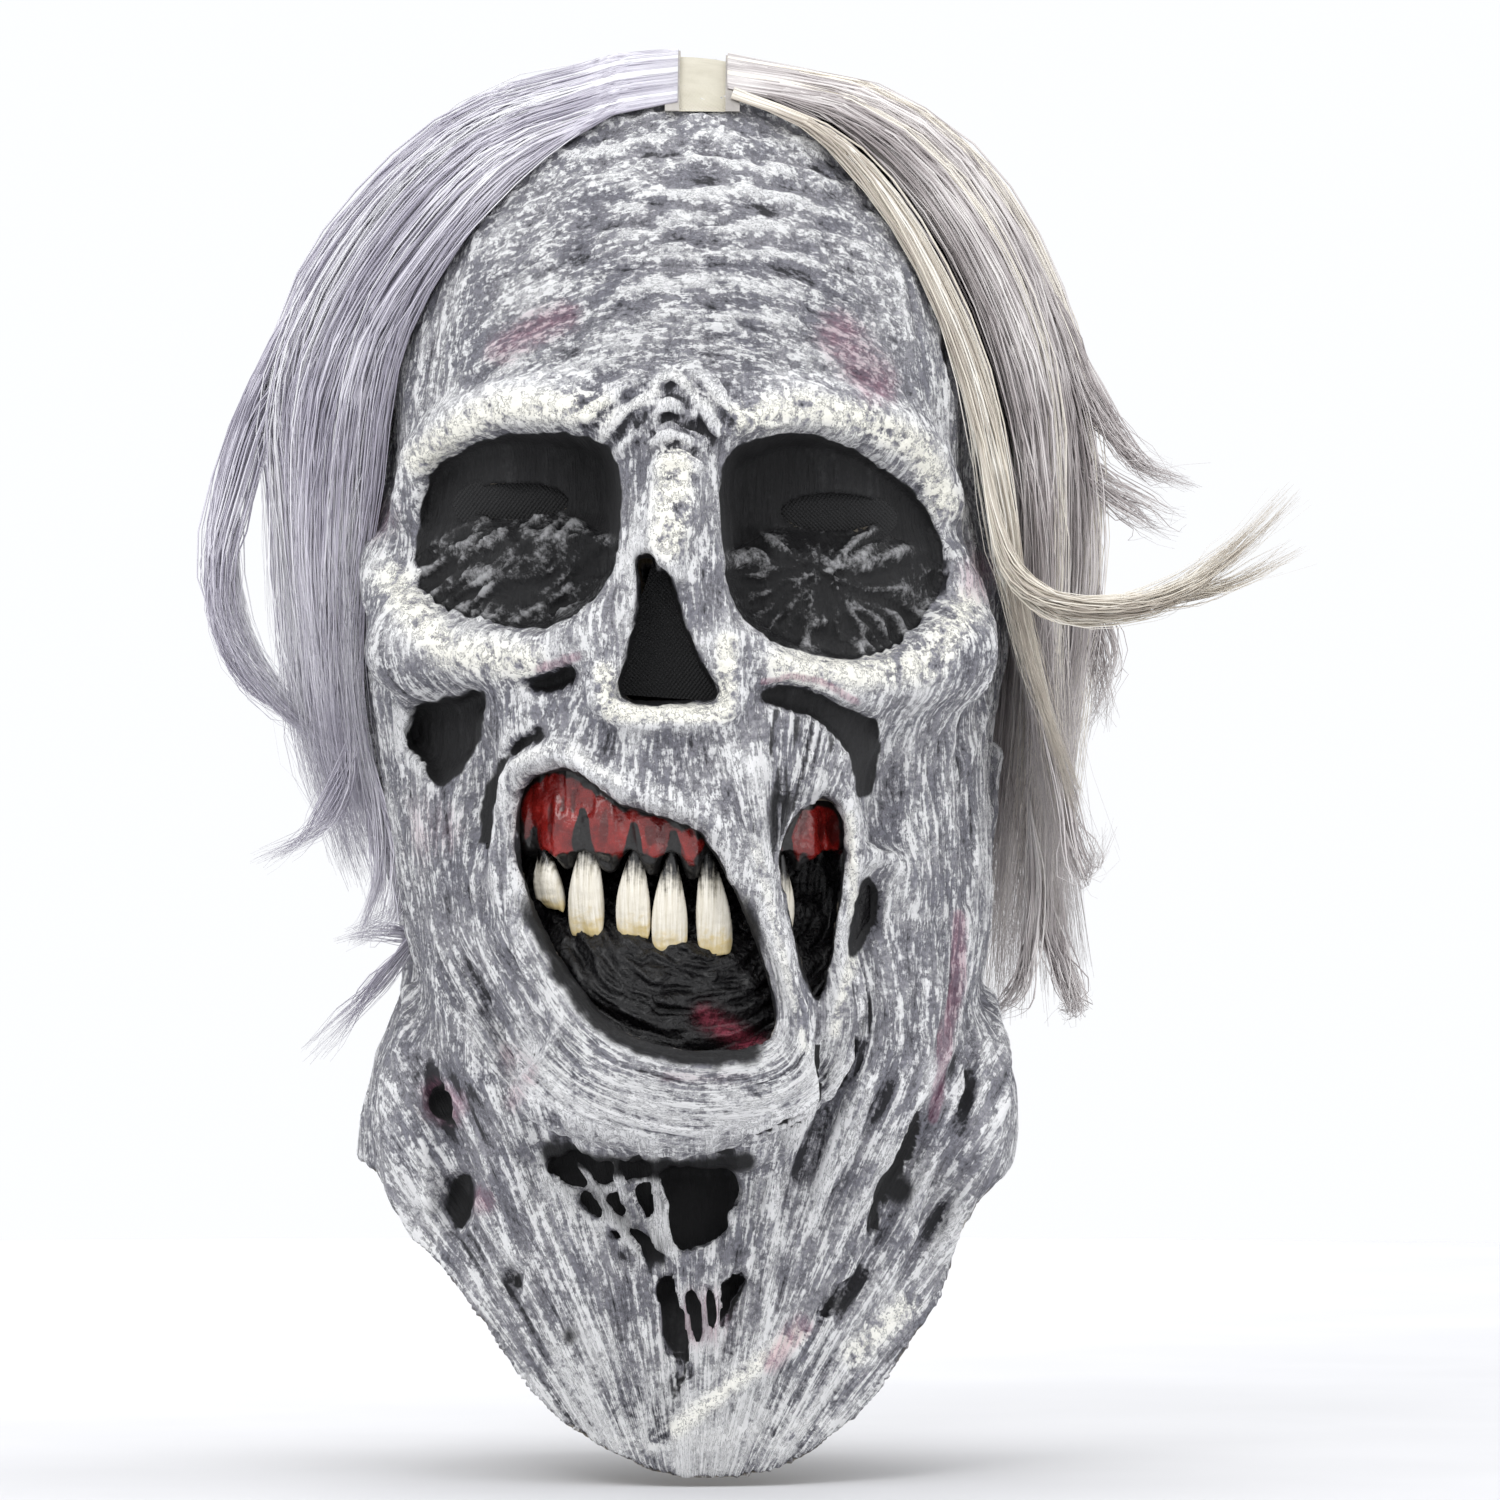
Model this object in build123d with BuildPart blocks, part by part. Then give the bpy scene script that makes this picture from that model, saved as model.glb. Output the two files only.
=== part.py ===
"""Full-head latex costume mask: a decayed face in a thin latex skin, with teeth and long synthetic hair.

Millimetres. The origin is the middle of the wearer's head at eye level, +Z is up and the face looks
along -Y. The skin hangs on the head and the hair hangs on the skin.
"""

from build123d import *
import math
import os

os.makedirs("parts", exist_ok=True)

# Latex skin.
WALL = 2.0
CRANIUM_Z = 20.0
CRANIUM_HEIGHT = 120.0
CRANIUM_HALF_WIDTH = 91.0
CRANIUM_FRONT = -102.0
CRANIUM_BACK = 122.0
CRANIUM_ANGLES = (20, 40, 57, 72, 83)

# Elliptical sections: height, half width, front and back along Y.
FACE_SECTIONS = (
    (-168, 22, -94, -46),
    (-156, 35, -105, -26),
    (-138, 48, -108, 14),
    (-114, 63, -108, 50),
    (-88, 76, -108, 84),
    (-58, 87, -108, 106),
    (-28, 93, -107, 118),
    (0, 93, -105, 122),
)
NOSE_SECTIONS = (
    (-52, 9, -108, -80),
    (-42, 15, -116, -80),
    (-20, 11, -119, -80),
    (4, 8, -113, -80),
    (26, 6, -105, -80),
)
NECK_SECTIONS = (
    (-268, 95, -92, 104),
    (-235, 93, -78, 98),
    (-200, 92, -62, 90),
    (-165, 90, -52, 80),
    (-135, 80, -46, 74),
    (-108, 75, -42, 78),
    (-72, 68, -36, 96),
)

# The hem, X and Z, in front of and behind the middle of the neck: a bib that comes to a blunt point.
NECK_MIDDLE_Y = 14.0
HEM_FRONT = (
    (-88, -177), (-78, -192), (-64, -206), (-46, -230), (-22, -251),
    (10, -260), (38, -252), (62, -229), (78, -201), (88, -180),
)
HEM_BACK = ((-88, -177), (-50, -200), (0, -210), (50, -200), (88, -180))
HEM_SIDE = 130.0
BELOW = -300.0

# Eye sockets: centre X and Z, then half width and half height at the brow and at the floor.
SOCKETS = {
    "left": ((-44.5, 3.0), (29.0, 26.0), (22.0, 19.0)),
    "right": ((43.5, -1.0), (31.5, 29.5), (24.0, 21.0)),
}
SOCKET_MOUTH_Y = -118.0
SOCKET_FLOOR_Y = -70.0
VISION_SLOT = (15.0, 5.5)
VISION_RISE = 8.0
SCREEN = 0.8
SCREEN_LAP = 3.0

# Openings seen from the front, X and Z.
NOSE_HOLE = ((-5, -7), (3, -5), (12, -42), (-16, -40))
NOSE_TUNNEL_Y = -92.0
MOUTH_HOLE = (
    (-45, -76), (-40, -64), (-31, -62), (-16, -72), (2, -77), (12, -88), (18, -103), (26, -120),
    (28, -132), (20, -140), (2, -140), (-18, -133), (-33, -115), (-43, -96),
)
CHEEK_HOLE = ((29, -88), (33, -76), (42, -71), (46, -80), (45, -100), (41, -122), (37, -126), (33, -110))
REACH = 140.0

# Mouth lining, gum and teeth.
LINING_SIZE = (112.0, 92.0)
LINING_CENTRE = (0.0, -102.0)
LINING_BACK_Y = -62.0
LINING_CORNER = 22.0
GUM_AXIS_Y = -38.0
GUM_RADIUS = 60.0
GUM_DEPTH = 9.0
GUM_BOTTOM = -92.0
GUM_ARC = 90.0
TOOTH_INSET = 3.6
# Each tooth: X, height of the root's tip, height of the biting edge, half width.
TEETH = (
    (-38.0, -86.0, -102.0, 4.4),
    (-26.0, -80.0, -108.0, 5.3),
    (-12.3, -84.0, -109.0, 5.0),
    (-1.4, -86.0, -112.5, 5.2),
    (10.0, -86.0, -113.5, 5.2),
    (31.0, -88.0, -111.0, 4.0),
)
# A tooth's sections: share of its height from the root, share of its half width, half thickness.
TOOTH_SHAPE = ((0.0, 0.3, 1.2), (0.35, 0.6, 2.1), (0.75, 1.0, 2.7), (0.93, 0.97, 1.9), (1.0, 0.8, 0.9))

# The parting: a ribbon over the crown with a stitched track along each edge, side view in Y and Z.
TAPE_X = (-3.5, 17.5)
TAPE = 0.8
TRACK = 1.8
TRACK_WIDTH = 4.0
PARTING = ((-85, 122), (10, 122), (10, 104), (120, 104), (120, 150), (-85, 150))

# Hair combed over the crown, fuller at the sides than on top; the hairlines run in X and Z.
CROWN_HAIR_TOP = 4.0
CROWN_HAIR_SIDE = 16.0
CROWN_HAIR_DEPTH = 8.0
CROWN_BOTTOM = 100.0
HAIRLINE_LEFT = ((-3.5, 124), (-44, 116), (-56, 100))
HAIRLINE_RIGHT = ((17.5, 124), (32, 122), (56, 100))

# Hanging hair: curtains at the sides and the back that start at hinge height, under glued weft bands.
HINGE_Z = 88.0
HAIR_GAP = 1.5
BAND = 1.2
BAND_Z = (90.0, 96.0)
SIDE_Y = (-28.0, 62.0)
LEFT_CURTAIN = (
    (-74, HINGE_Z), (-88, HINGE_Z), (-105, 72), (-121, 42), (-130, 0), (-125, -30), (-107, -48),
    (-98, -76), (-92, -102), (-80, -104), (-84, -74), (-66, -44), (-68, 60),
)
RIGHT_CURTAIN = (
    (74, HINGE_Z), (88, HINGE_Z), (104, 76), (113, 50), (127, 30), (143, 19), (126, 8), (115, -20),
    (113, -45), (106, -66), (104, -100), (109, -126), (94, -112), (86, -80), (66, -44), (68, 60),
)
BACK_HALF_WIDTH = 60.0
BACK_Y = 80.0
BACK_CURTAIN = (
    (98, HINGE_Z), (108, HINGE_Z), (126, 62), (133, 20), (134, -30), (129, -80), (122, -140),
    (110, -144), (108, -90), (104, -60), (82, -40), (82, 60),
)
# Two loose locks in front of the right curtain, and their half widths and half thicknesses.
TEMPLE_LOCK = ((82, -40, 84), (89, -40, 60), (95, -40, 18), (99, -40, -8), (106, -40, -44), (113, -40, -72))
TEMPLE_LOCK_SIZES = ((7, 3), (8, 4), (8, 5), (8, 5), (6, 4), (2, 1.5))
FLICK_LOCK = ((84, -58, 34), (91, -58, -2), (112, -58, -17), (138, -58, -13), (155, -58, 0), (173, -58, 17))
FLICK_LOCK_SIZES = ((6, 3), (7, 5), (7, 6), (6, 5), (4, 3), (1.5, 1))


def ring(height, half_width, front, back, grow):
    """One elliptical section of the skin, grown outwards."""
    with BuildSketch(Plane.XY.offset(height)) as section:
        with Locations((0, (front + back) / 2)):
            Ellipse(half_width + grow, (back - front) / 2 + grow)
    return section.sketch.face()


def column(sections, grow):
    """A loft from the lowest section to the highest, with a flat end at each."""
    last = len(sections) - 1
    rise = {0: -grow, last: grow}
    with BuildPart() as body:
        loft(sections=[ring(s[0] + rise.get(i, 0), *s[1:], grow) for i, s in enumerate(sections)])
    return body.part


def skull(rise, spread=None, depth=None):
    """The face and the domed skull in one loft, grown by rise on top, spread sideways and depth along Y."""
    spread = rise if spread is None else spread
    depth = rise if depth is None else depth
    middle = (CRANIUM_BACK + CRANIUM_FRONT) / 2
    half_depth = (CRANIUM_BACK - CRANIUM_FRONT) / 2
    rings = [ring(s[0] - (rise if i == 0 else 0), *s[1:], rise) for i, s in enumerate(FACE_SECTIONS)]
    for angle in CRANIUM_ANGLES:
        share = math.cos(math.radians(angle))
        height = CRANIUM_Z + (CRANIUM_HEIGHT + rise) * math.sin(math.radians(angle))
        reach = (half_depth + depth) * share
        rings.append(ring(height, (CRANIUM_HALF_WIDTH + spread) * share, middle - reach, middle + reach, 0))
    with BuildPart() as body:
        loft(sections=[*rings, Vertex(0, middle, CRANIUM_Z + CRANIUM_HEIGHT + rise)])
    return body.part


def head(grow):
    """The mask's whole form without its openings."""
    with BuildPart() as body:
        add(skull(grow))
        add(column(NECK_SECTIONS, grow))
        add(column(NOSE_SECTIONS, grow))
    return body.part


def front_prism(points, start_y, end_y, smooth=False, grow=0.0):
    """An outline in X and Z, pushed along Y from start_y to end_y."""
    with BuildPart() as prism:
        with BuildSketch(Plane.XZ.offset(-start_y)):
            with BuildLine():
                if smooth:
                    Spline(*points, periodic=True)
                else:
                    Polyline(*points, close=True)
            make_face()
            if grow:
                offset(amount=grow)
        extrude(amount=start_y - end_y)
    return prism.part


def side_prism(points, start_x, end_x):
    """An outline in Y and Z, pushed along X from start_x to end_x."""
    with BuildPart() as prism:
        with BuildSketch(Plane.YZ.offset(start_x)):
            Polygon(*points, align=None)
        extrude(amount=end_x - start_x)
    return prism.part


def box_between(low, high):
    """A box given by its lowest and highest corners."""
    with BuildPart() as box:
        with Locations(tuple((a + b) / 2 for a, b in zip(low, high))):
            Box(*[b - a for a, b in zip(low, high)])
    return box.part


def socket_hollow(name, grow):
    """The hollow of an eye socket, or its outside when grown by the wall."""
    (x, z), mouth, floor = SOCKETS[name]
    with BuildPart() as hollow:
        for y, (half_width, half_height) in ((SOCKET_FLOOR_Y + grow, floor), (SOCKET_MOUTH_Y, mouth)):
            with BuildSketch(Plane.XZ.offset(-y)):
                with Locations((x, z)):
                    Ellipse(half_width + grow, half_height + grow)
        loft()
    return hollow.part


def vision_disc(name, start_y, end_y, grow=0.0):
    """The ellipse of a vision slot, pushed along Y."""
    (x, z), _, _ = SOCKETS[name]
    with BuildPart() as disc:
        with BuildSketch(Plane.XZ.offset(-start_y)):
            with Locations((x, z + VISION_RISE)):
                Ellipse(VISION_SLOT[0] + grow, VISION_SLOT[1] + grow)
        extrude(amount=start_y - end_y)
    return disc.part


def below_hem(hem, end_y):
    """Everything under the hem's curve, from the middle of the neck to end_y."""
    with BuildPart() as block:
        with BuildSketch(Plane.XZ.offset(-NECK_MIDDLE_Y)):
            with BuildLine():
                curve = Spline(*hem)
                Polyline(
                    curve @ 1,
                    (HEM_SIDE, hem[-1][1]),
                    (HEM_SIDE, BELOW),
                    (-HEM_SIDE, BELOW),
                    (-HEM_SIDE, hem[0][1]),
                    curve @ 0,
                )
            make_face()
        extrude(amount=NECK_MIDDLE_Y - end_y)
    return block.part


def lining_block(grow, back_y, front_y):
    """The rounded block of the mouth's hollow."""
    with BuildPart() as block:
        with BuildSketch(Plane.XZ.offset(-back_y)):
            with Locations(LINING_CENTRE):
                RectangleRounded(LINING_SIZE[0] + 2 * grow, LINING_SIZE[1] + 2 * grow, LINING_CORNER + grow)
        extrude(amount=back_y - front_y)
    return block.part


def tooth(x, root, edge, half_width):
    """A long-rooted tooth that stands on the gum's arc and faces outwards."""
    turn = math.asin(x / GUM_RADIUS)
    radius = GUM_RADIUS - TOOTH_INSET
    centre = (radius * math.sin(turn), GUM_AXIS_Y - radius * math.cos(turn))
    along = (math.cos(turn), math.sin(turn), 0)
    with BuildPart() as body:
        for share, width, half_depth in TOOTH_SHAPE:
            height = root + (edge - root) * share
            with BuildSketch(Plane(origin=(*centre, height), x_dir=along, z_dir=(0, 0, 1))):
                Ellipse(half_width * width, half_depth)
        loft()
    return body.part


def on_scalp(region, low, high):
    """The share of a region that lies between two heights above the scalp."""
    with BuildPart() as layer:
        add(region)
        add(high, mode=Mode.INTERSECT)
        add(low, mode=Mode.SUBTRACT)
    return layer.part


def crown_region(hairline, outer_x):
    """The space over one half of the crown: behind the hairline in front, and all of it at the back."""
    start_x, low_x = hairline[0][0], hairline[-1][0]
    top = CRANIUM_Z + CRANIUM_HEIGHT + 2 * CROWN_HAIR_TOP
    over = ((outer_x, CROWN_BOTTOM), (outer_x, top), (start_x, top))
    with BuildPart() as region:
        add(front_prism((*hairline, *over), 0, -REACH))
        add(front_prism(((start_x, CROWN_BOTTOM), (low_x, CROWN_BOTTOM), *over), REACH, 0))
    return region.part


def lock(points, sizes):
    """A tapering lock of hair along a spline, with sections at even steps."""
    with BuildLine():
        path = Spline(*points)
    with BuildPart() as body:
        for i, size in enumerate(sizes):
            share = i / (len(sizes) - 1)
            with BuildSketch(Plane(origin=path @ share, x_dir=(0, 1, 0), z_dir=path % share)):
                Ellipse(*size)
        loft()
    return body.part


def save(piece, name):
    piece.part.label = name
    export_step(piece.part, f"parts/{name}.step")


outer_form = head(0)
inner_form = head(-WALL)

# The skin: socket cups and a nose tunnel stand inside the shell, then every opening is cut.
with BuildPart() as cups:
    for side in SOCKETS:
        add(socket_hollow(side, WALL))
    add(front_prism(NOSE_HOLE, NOSE_TUNNEL_Y, -REACH, grow=WALL))
    add(outer_form, mode=Mode.INTERSECT)

with BuildPart() as latex_skin:
    add(outer_form)
    add(inner_form, mode=Mode.SUBTRACT)
    add(cups.part)
    for side in SOCKETS:
        add(socket_hollow(side, 0), mode=Mode.SUBTRACT)
        add(vision_disc(side, SOCKET_FLOOR_Y + 2 * WALL, SOCKET_FLOOR_Y - WALL), mode=Mode.SUBTRACT)
    add(front_prism(NOSE_HOLE, NOSE_TUNNEL_Y, -REACH), mode=Mode.SUBTRACT)
    for opening in (MOUTH_HOLE, CHEEK_HOLE):
        add(front_prism(opening, LINING_BACK_Y, -REACH, smooth=True), mode=Mode.SUBTRACT)
    add(below_hem(HEM_FRONT, -REACH), mode=Mode.SUBTRACT)
    add(below_hem(HEM_BACK, REACH), mode=Mode.SUBTRACT)
save(latex_skin, "latex_skin")

# Black mesh glued behind each vision slot and behind the nose tunnel.
for side in SOCKETS:
    back_y = SOCKET_FLOOR_Y + WALL
    with BuildPart() as eye_screen:
        add(vision_disc(side, back_y + SCREEN, back_y, grow=SCREEN_LAP))
    save(eye_screen, f"eye_screen_{side}")

with BuildPart() as nose_screen:
    add(front_prism(NOSE_HOLE, NOSE_TUNNEL_Y + SCREEN, NOSE_TUNNEL_Y, grow=WALL))
save(nose_screen, "nose_screen")

# The black cup behind the mouth; its rim is glued to the inside of the skin.
with BuildPart() as mouth_lining:
    add(lining_block(0, LINING_BACK_Y, -REACH))
    add(inner_form, mode=Mode.INTERSECT)
    add(lining_block(-WALL, LINING_BACK_Y - WALL, -REACH - WALL), mode=Mode.SUBTRACT)
save(mouth_lining, "mouth_lining")

tooth_parts = []
for number, dimensions in enumerate(TEETH, start=1):
    with BuildPart() as one_tooth:
        add(tooth(*dimensions))
    save(one_tooth, f"tooth_{number}")
    tooth_parts.append(one_tooth.part)

# The gum ridge under the lining's roof, with a pocket for each root.
roof = LINING_CENTRE[1] + LINING_SIZE[1] / 2 - WALL
start_angle = math.radians(GUM_ARC / 2)
with BuildPart() as upper_gum:
    gum_plane = Plane(
        origin=(0, GUM_AXIS_Y, 0),
        x_dir=(-math.sin(start_angle), -math.cos(start_angle), 0),
        z_dir=(-math.cos(start_angle), math.sin(start_angle), 0),
    )
    with BuildSketch(gum_plane):
        with Locations((GUM_RADIUS - GUM_DEPTH / 2, (roof + GUM_BOTTOM) / 2)):
            Rectangle(GUM_DEPTH, roof - GUM_BOTTOM)
    revolve(axis=Axis((0, GUM_AXIS_Y, 0), (0, 0, 1)), revolution_arc=GUM_ARC)
    fillet(upper_gum.edges().group_by(Axis.Z)[0].filter_by(GeomType.CIRCLE), radius=GUM_DEPTH / 3)
    add(lining_block(-WALL, LINING_BACK_Y - WALL, -REACH), mode=Mode.INTERSECT)
    for one_tooth_part in tooth_parts:
        add(one_tooth_part, mode=Mode.SUBTRACT)
save(upper_gum, "upper_gum")

scalp = skull(0)
tape_top = skull(TAPE)
track_top = skull(TAPE + TRACK)
band_top = skull(BAND)
hair_top = skull(CROWN_HAIR_TOP, CROWN_HAIR_SIDE, CROWN_HAIR_DEPTH)

with BuildPart() as parting_tape:
    add(on_scalp(side_prism(PARTING, *TAPE_X), scalp, tape_top))
save(parting_tape, "parting_tape")

for side, track_x in (("left", TAPE_X[0]), ("right", TAPE_X[1] - TRACK_WIDTH)):
    with BuildPart() as weft_track:
        add(on_scalp(side_prism(PARTING, track_x, track_x + TRACK_WIDTH), tape_top, track_top))
    save(weft_track, f"weft_track_{side}")

for side, hairline, outer_x in (("left", HAIRLINE_LEFT, -110), ("right", HAIRLINE_RIGHT, 110)):
    with BuildPart() as crown_hair:
        add(on_scalp(crown_region(hairline, outer_x), scalp, hair_top))
    save(crown_hair, f"crown_hair_{side}")

band_regions = {
    "left": box_between((-REACH, SIDE_Y[0], BAND_Z[0]), (0, SIDE_Y[1], BAND_Z[1])),
    "right": box_between((0, SIDE_Y[0], BAND_Z[0]), (REACH, SIDE_Y[1], BAND_Z[1])),
    "back": box_between((-REACH, BACK_Y, BAND_Z[0]), (REACH, REACH, BAND_Z[1])),
}
for side, region in band_regions.items():
    with BuildPart() as weft_band:
        add(on_scalp(region, scalp, band_top))
    save(weft_band, f"weft_band_{side}")

clearance = head(HAIR_GAP)
curtain_prisms = {
    "left": front_prism(LEFT_CURTAIN, SIDE_Y[1], SIDE_Y[0]),
    "right": front_prism(RIGHT_CURTAIN, SIDE_Y[1], SIDE_Y[0]),
    "back": side_prism(BACK_CURTAIN, -BACK_HALF_WIDTH, BACK_HALF_WIDTH),
}
for side, prism in curtain_prisms.items():
    with BuildPart() as curtain:
        add(prism)
        add(clearance, mode=Mode.SUBTRACT)
    save(curtain, f"hair_{side}_curtain")

for name, points, sizes in (
    ("hair_right_temple_lock", TEMPLE_LOCK, TEMPLE_LOCK_SIZES),
    ("hair_right_flick_lock", FLICK_LOCK, FLICK_LOCK_SIZES),
):
    with BuildPart() as loose_lock:
        add(lock(points, sizes))
        add(clearance, mode=Mode.SUBTRACT)
    save(loose_lock, name)
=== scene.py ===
"""The looks of a full-head latex costume mask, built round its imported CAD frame.

Shapes are worked out in millimetres in the frame's own axes and turned into metres when a mesh is made.
The face looks along -Y, +Z is up, and a "front view" is a place in X and Z.
"""

import math

import bpy
import mathutils
import numpy as np
import openvdb
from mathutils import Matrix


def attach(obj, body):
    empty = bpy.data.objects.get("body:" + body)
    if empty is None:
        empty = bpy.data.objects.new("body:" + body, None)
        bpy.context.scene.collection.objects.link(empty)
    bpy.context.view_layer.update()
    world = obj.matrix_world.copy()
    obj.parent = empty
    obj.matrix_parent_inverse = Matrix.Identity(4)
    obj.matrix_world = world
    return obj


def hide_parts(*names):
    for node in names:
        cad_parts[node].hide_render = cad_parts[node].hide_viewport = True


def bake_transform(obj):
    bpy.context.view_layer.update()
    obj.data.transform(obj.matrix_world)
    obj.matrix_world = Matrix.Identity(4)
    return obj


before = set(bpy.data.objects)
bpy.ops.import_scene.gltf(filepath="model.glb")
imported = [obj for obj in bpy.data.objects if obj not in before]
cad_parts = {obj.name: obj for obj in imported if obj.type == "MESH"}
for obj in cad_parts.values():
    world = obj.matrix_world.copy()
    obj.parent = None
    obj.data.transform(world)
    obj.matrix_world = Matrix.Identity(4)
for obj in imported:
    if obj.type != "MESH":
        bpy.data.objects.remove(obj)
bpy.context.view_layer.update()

MM = 0.001
VOXEL = 1.15
HAIR_SHARE = 1.0
RELIEF_SCALE = 1.0
SKIN_WALL = 2.3

# The same driving sections as the CAD skin: height, half width, front and back.
FACE_SECTIONS = (
    (-168, 22, -94, -46),
    (-156, 35, -105, -26),
    (-138, 48, -108, 14),
    (-114, 63, -108, 50),
    (-88, 76, -108, 84),
    (-58, 87, -108, 106),
    (-28, 93, -107, 118),
    (0, 93, -105, 122),
    (20, 91, -102, 122),
)
NECK_SECTIONS = (
    (-268, 95, -92, 104),
    (-235, 93, -78, 98),
    (-200, 92, -62, 90),
    (-165, 90, -52, 80),
    (-135, 80, -46, 74),
    (-108, 75, -42, 78),
    (-72, 68, -36, 96),
)
DOME_CENTRE = (0.0, 10.0, 20.0)
DOME_RADII = (91.0, 112.0, 120.0)
HEM_FRONT = (
    (-100, -170), (-86, -178), (-78, -193), (-66, -203), (-55, -217), (-38, -239), (-21, -252), (-5, -258),
    (10, -260),
    (24, -258), (40, -251), (54, -239), (65, -225), (75, -209), (81, -192), (90, -180), (102, -172),
)
HEM_BACK = ((-100, -170), (-88, -176), (-50, -200), (0, -210), (50, -200), (88, -178), (102, -172))
NECK_MIDDLE_Y = 14.0
FACE_LOW_Z = -166
NECK_HIGH_Z = -76
TINY = 1e-6


# ---------------------------------------------------------------- small maths


def spline_rows(rows, at):
    """Every column of rows, whose first column is the place, read at new places on a smooth curve."""
    rows = np.array(rows, float)
    rows = rows[np.argsort(rows[:, 0])]
    t, v = rows[:, 0], rows[:, 1:]
    slope = np.gradient(v, t, axis=0)
    at = np.clip(np.asarray(at, float), t[0], t[-1])
    i = np.clip(np.searchsorted(t, at) - 1, 0, len(t) - 2)
    h = (t[i + 1] - t[i])[:, None]
    s = ((at - t[i]) / (t[i + 1] - t[i]))[:, None]
    low, high = v[i], v[i + 1]
    return (
        low * (2 * s**3 - 3 * s**2 + 1)
        + slope[i] * h * (s**3 - 2 * s**2 + s)
        + high * (3 * s**2 - 2 * s**3)
        + slope[i + 1] * h * (s**3 - s**2)
    )


def smooth_path(points, steps=12, closed=False):
    """A Catmull-Rom curve through points of any dimension, as a dense list."""
    p = np.array(points, float)
    if closed:
        p = np.vstack([p[-1], p, p[0], p[1]])
    else:
        p = np.vstack([2 * p[0] - p[1], p, 2 * p[-1] - p[-2]])
    s = (np.arange(steps) / steps)[:, None]
    out = []
    for a, b, c, d in zip(p, p[1:], p[2:], p[3:]):
        cubic = (3 * b - a - 3 * c + d) * s**3
        out.append(0.5 * (2 * b + (c - a) * s + (2 * a - 5 * b + 4 * c - d) * s**2 + cubic))
    out = np.vstack(out)
    return out if closed else np.vstack([out, p[-2]])


def smoothstep(low, high, x):
    t = np.clip((x - low) / (high - low), 0, 1)
    return t * t * (3 - 2 * t)


def smooth_min(a, b, k):
    h = np.clip(k - np.abs(a - b), 0, None)
    return np.minimum(a, b) - h * h / (4 * k)


def smooth_max(a, b, k):
    return -smooth_min(-a, -b, k)


def to_path(points, x, z):
    """Front-view distance from places (x, z) to an open path."""
    p = np.array(points, float)
    best = np.full(np.broadcast(x, z).shape, 1e9, np.float32)
    for (ax, az), (bx, bz) in zip(p, p[1:]):
        dx, dz = bx - ax, bz - az
        t = np.clip(((x - ax) * dx + (z - az) * dz) / max(dx * dx + dz * dz, 1e-9), 0, 1)
        best = np.minimum(best, (x - ax - t * dx) ** 2 + (z - az - t * dz) ** 2)
    return np.sqrt(best)


def to_outline(points, x, z):
    """Front-view signed distance to a closed outline, negative inside."""
    p = np.array(points, float)
    inside = np.zeros(np.broadcast(x, z).shape, bool)
    for (ax, az), (bx, bz) in zip(p, np.roll(p, -1, axis=0)):
        if az != bz:
            inside ^= ((az > z) != (bz > z)) & (x < (bx - ax) * (z - az) / (bz - az) + ax)
    distance = to_path(np.vstack([p, p[:1]]), x, z)
    return np.where(inside, -distance, distance)


def lattice(ix, iy, iz, seed):
    """A repeatable value from -1 to 1 for each whole-number place."""
    h = (
        ix.astype(np.uint32) * np.uint32(374761393)
        + iy.astype(np.uint32) * np.uint32(668265263)
        + iz.astype(np.uint32) * np.uint32(2147483647)
        + np.uint32(seed * 1013904223 % 2**32)
    )
    h = (h ^ (h >> np.uint32(13))) * np.uint32(1274126177)
    h = (h ^ (h >> np.uint32(16))) * np.uint32(2246822519)
    return ((h ^ (h >> np.uint32(15))) & np.uint32(0xFFFFFF)).astype(np.float32) / 8388607.5 - 1


def noise(a, b, c=0.0, seed=0):
    """Smooth value noise from about -1 to 1 at places (a, b, c)."""
    a, b, c = np.broadcast_arrays(*(np.asarray(v, np.float32) for v in (a, b, c)))
    ia, ib, ic = (np.floor(v).astype(np.int64) for v in (a, b, c))
    fa, fb, fc = a - ia, b - ib, c - ic
    fa, fb, fc = (f * f * f * (f * (f * 6 - 15) + 10) for f in (fa, fb, fc))
    total = 0
    for da, wa in ((0, 1 - fa), (1, fa)):
        for db, wb in ((0, 1 - fb), (1, fb)):
            for dc, wc in ((0, 1 - fc), (1, fc)):
                total = total + wa * wb * wc * lattice(ia + da, ib + db, ic + dc, seed)
    return total * 1.6


def fractal(a, b, c=0.0, seed=0, octaves=3):
    """Noise at several sizes, each half as strong as the one before."""
    total, weight, size = 0, 1.0, 0.0
    for i in range(octaves):
        finer = 2.03**i
        deep = c * finer if np.ndim(c) else c + i
        total = total + weight * noise(a * finer, b * finer, deep, seed + 17 * i)
        size += weight
        weight *= 0.5
    return total / size


# ---------------------------------------------------------------- the plain head


def head_rows(sections, z):
    """Half width, front and back of a column of sections at heights z."""
    z = np.asarray(z, float)
    return [v.reshape(z.shape).astype(np.float32) for v in spline_rows(sections, z.ravel()).T]


def skull_rows(z):
    """Half width, front and back of the skull at heights z, with the dome above eye level."""
    width, front, back = head_rows(FACE_SECTIONS, z)
    share = np.sqrt(np.clip(1 - ((z - DOME_CENTRE[2]) / DOME_RADII[2]) ** 2, 1e-4, 1))
    over = z > DOME_CENTRE[2]
    width = np.where(over, DOME_RADII[0] * share, width)
    front = np.where(over, DOME_CENTRE[1] - DOME_RADII[1] * share, front)
    back = np.where(over, DOME_CENTRE[1] + DOME_RADII[1] * share, back)
    return width, front, back


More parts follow.
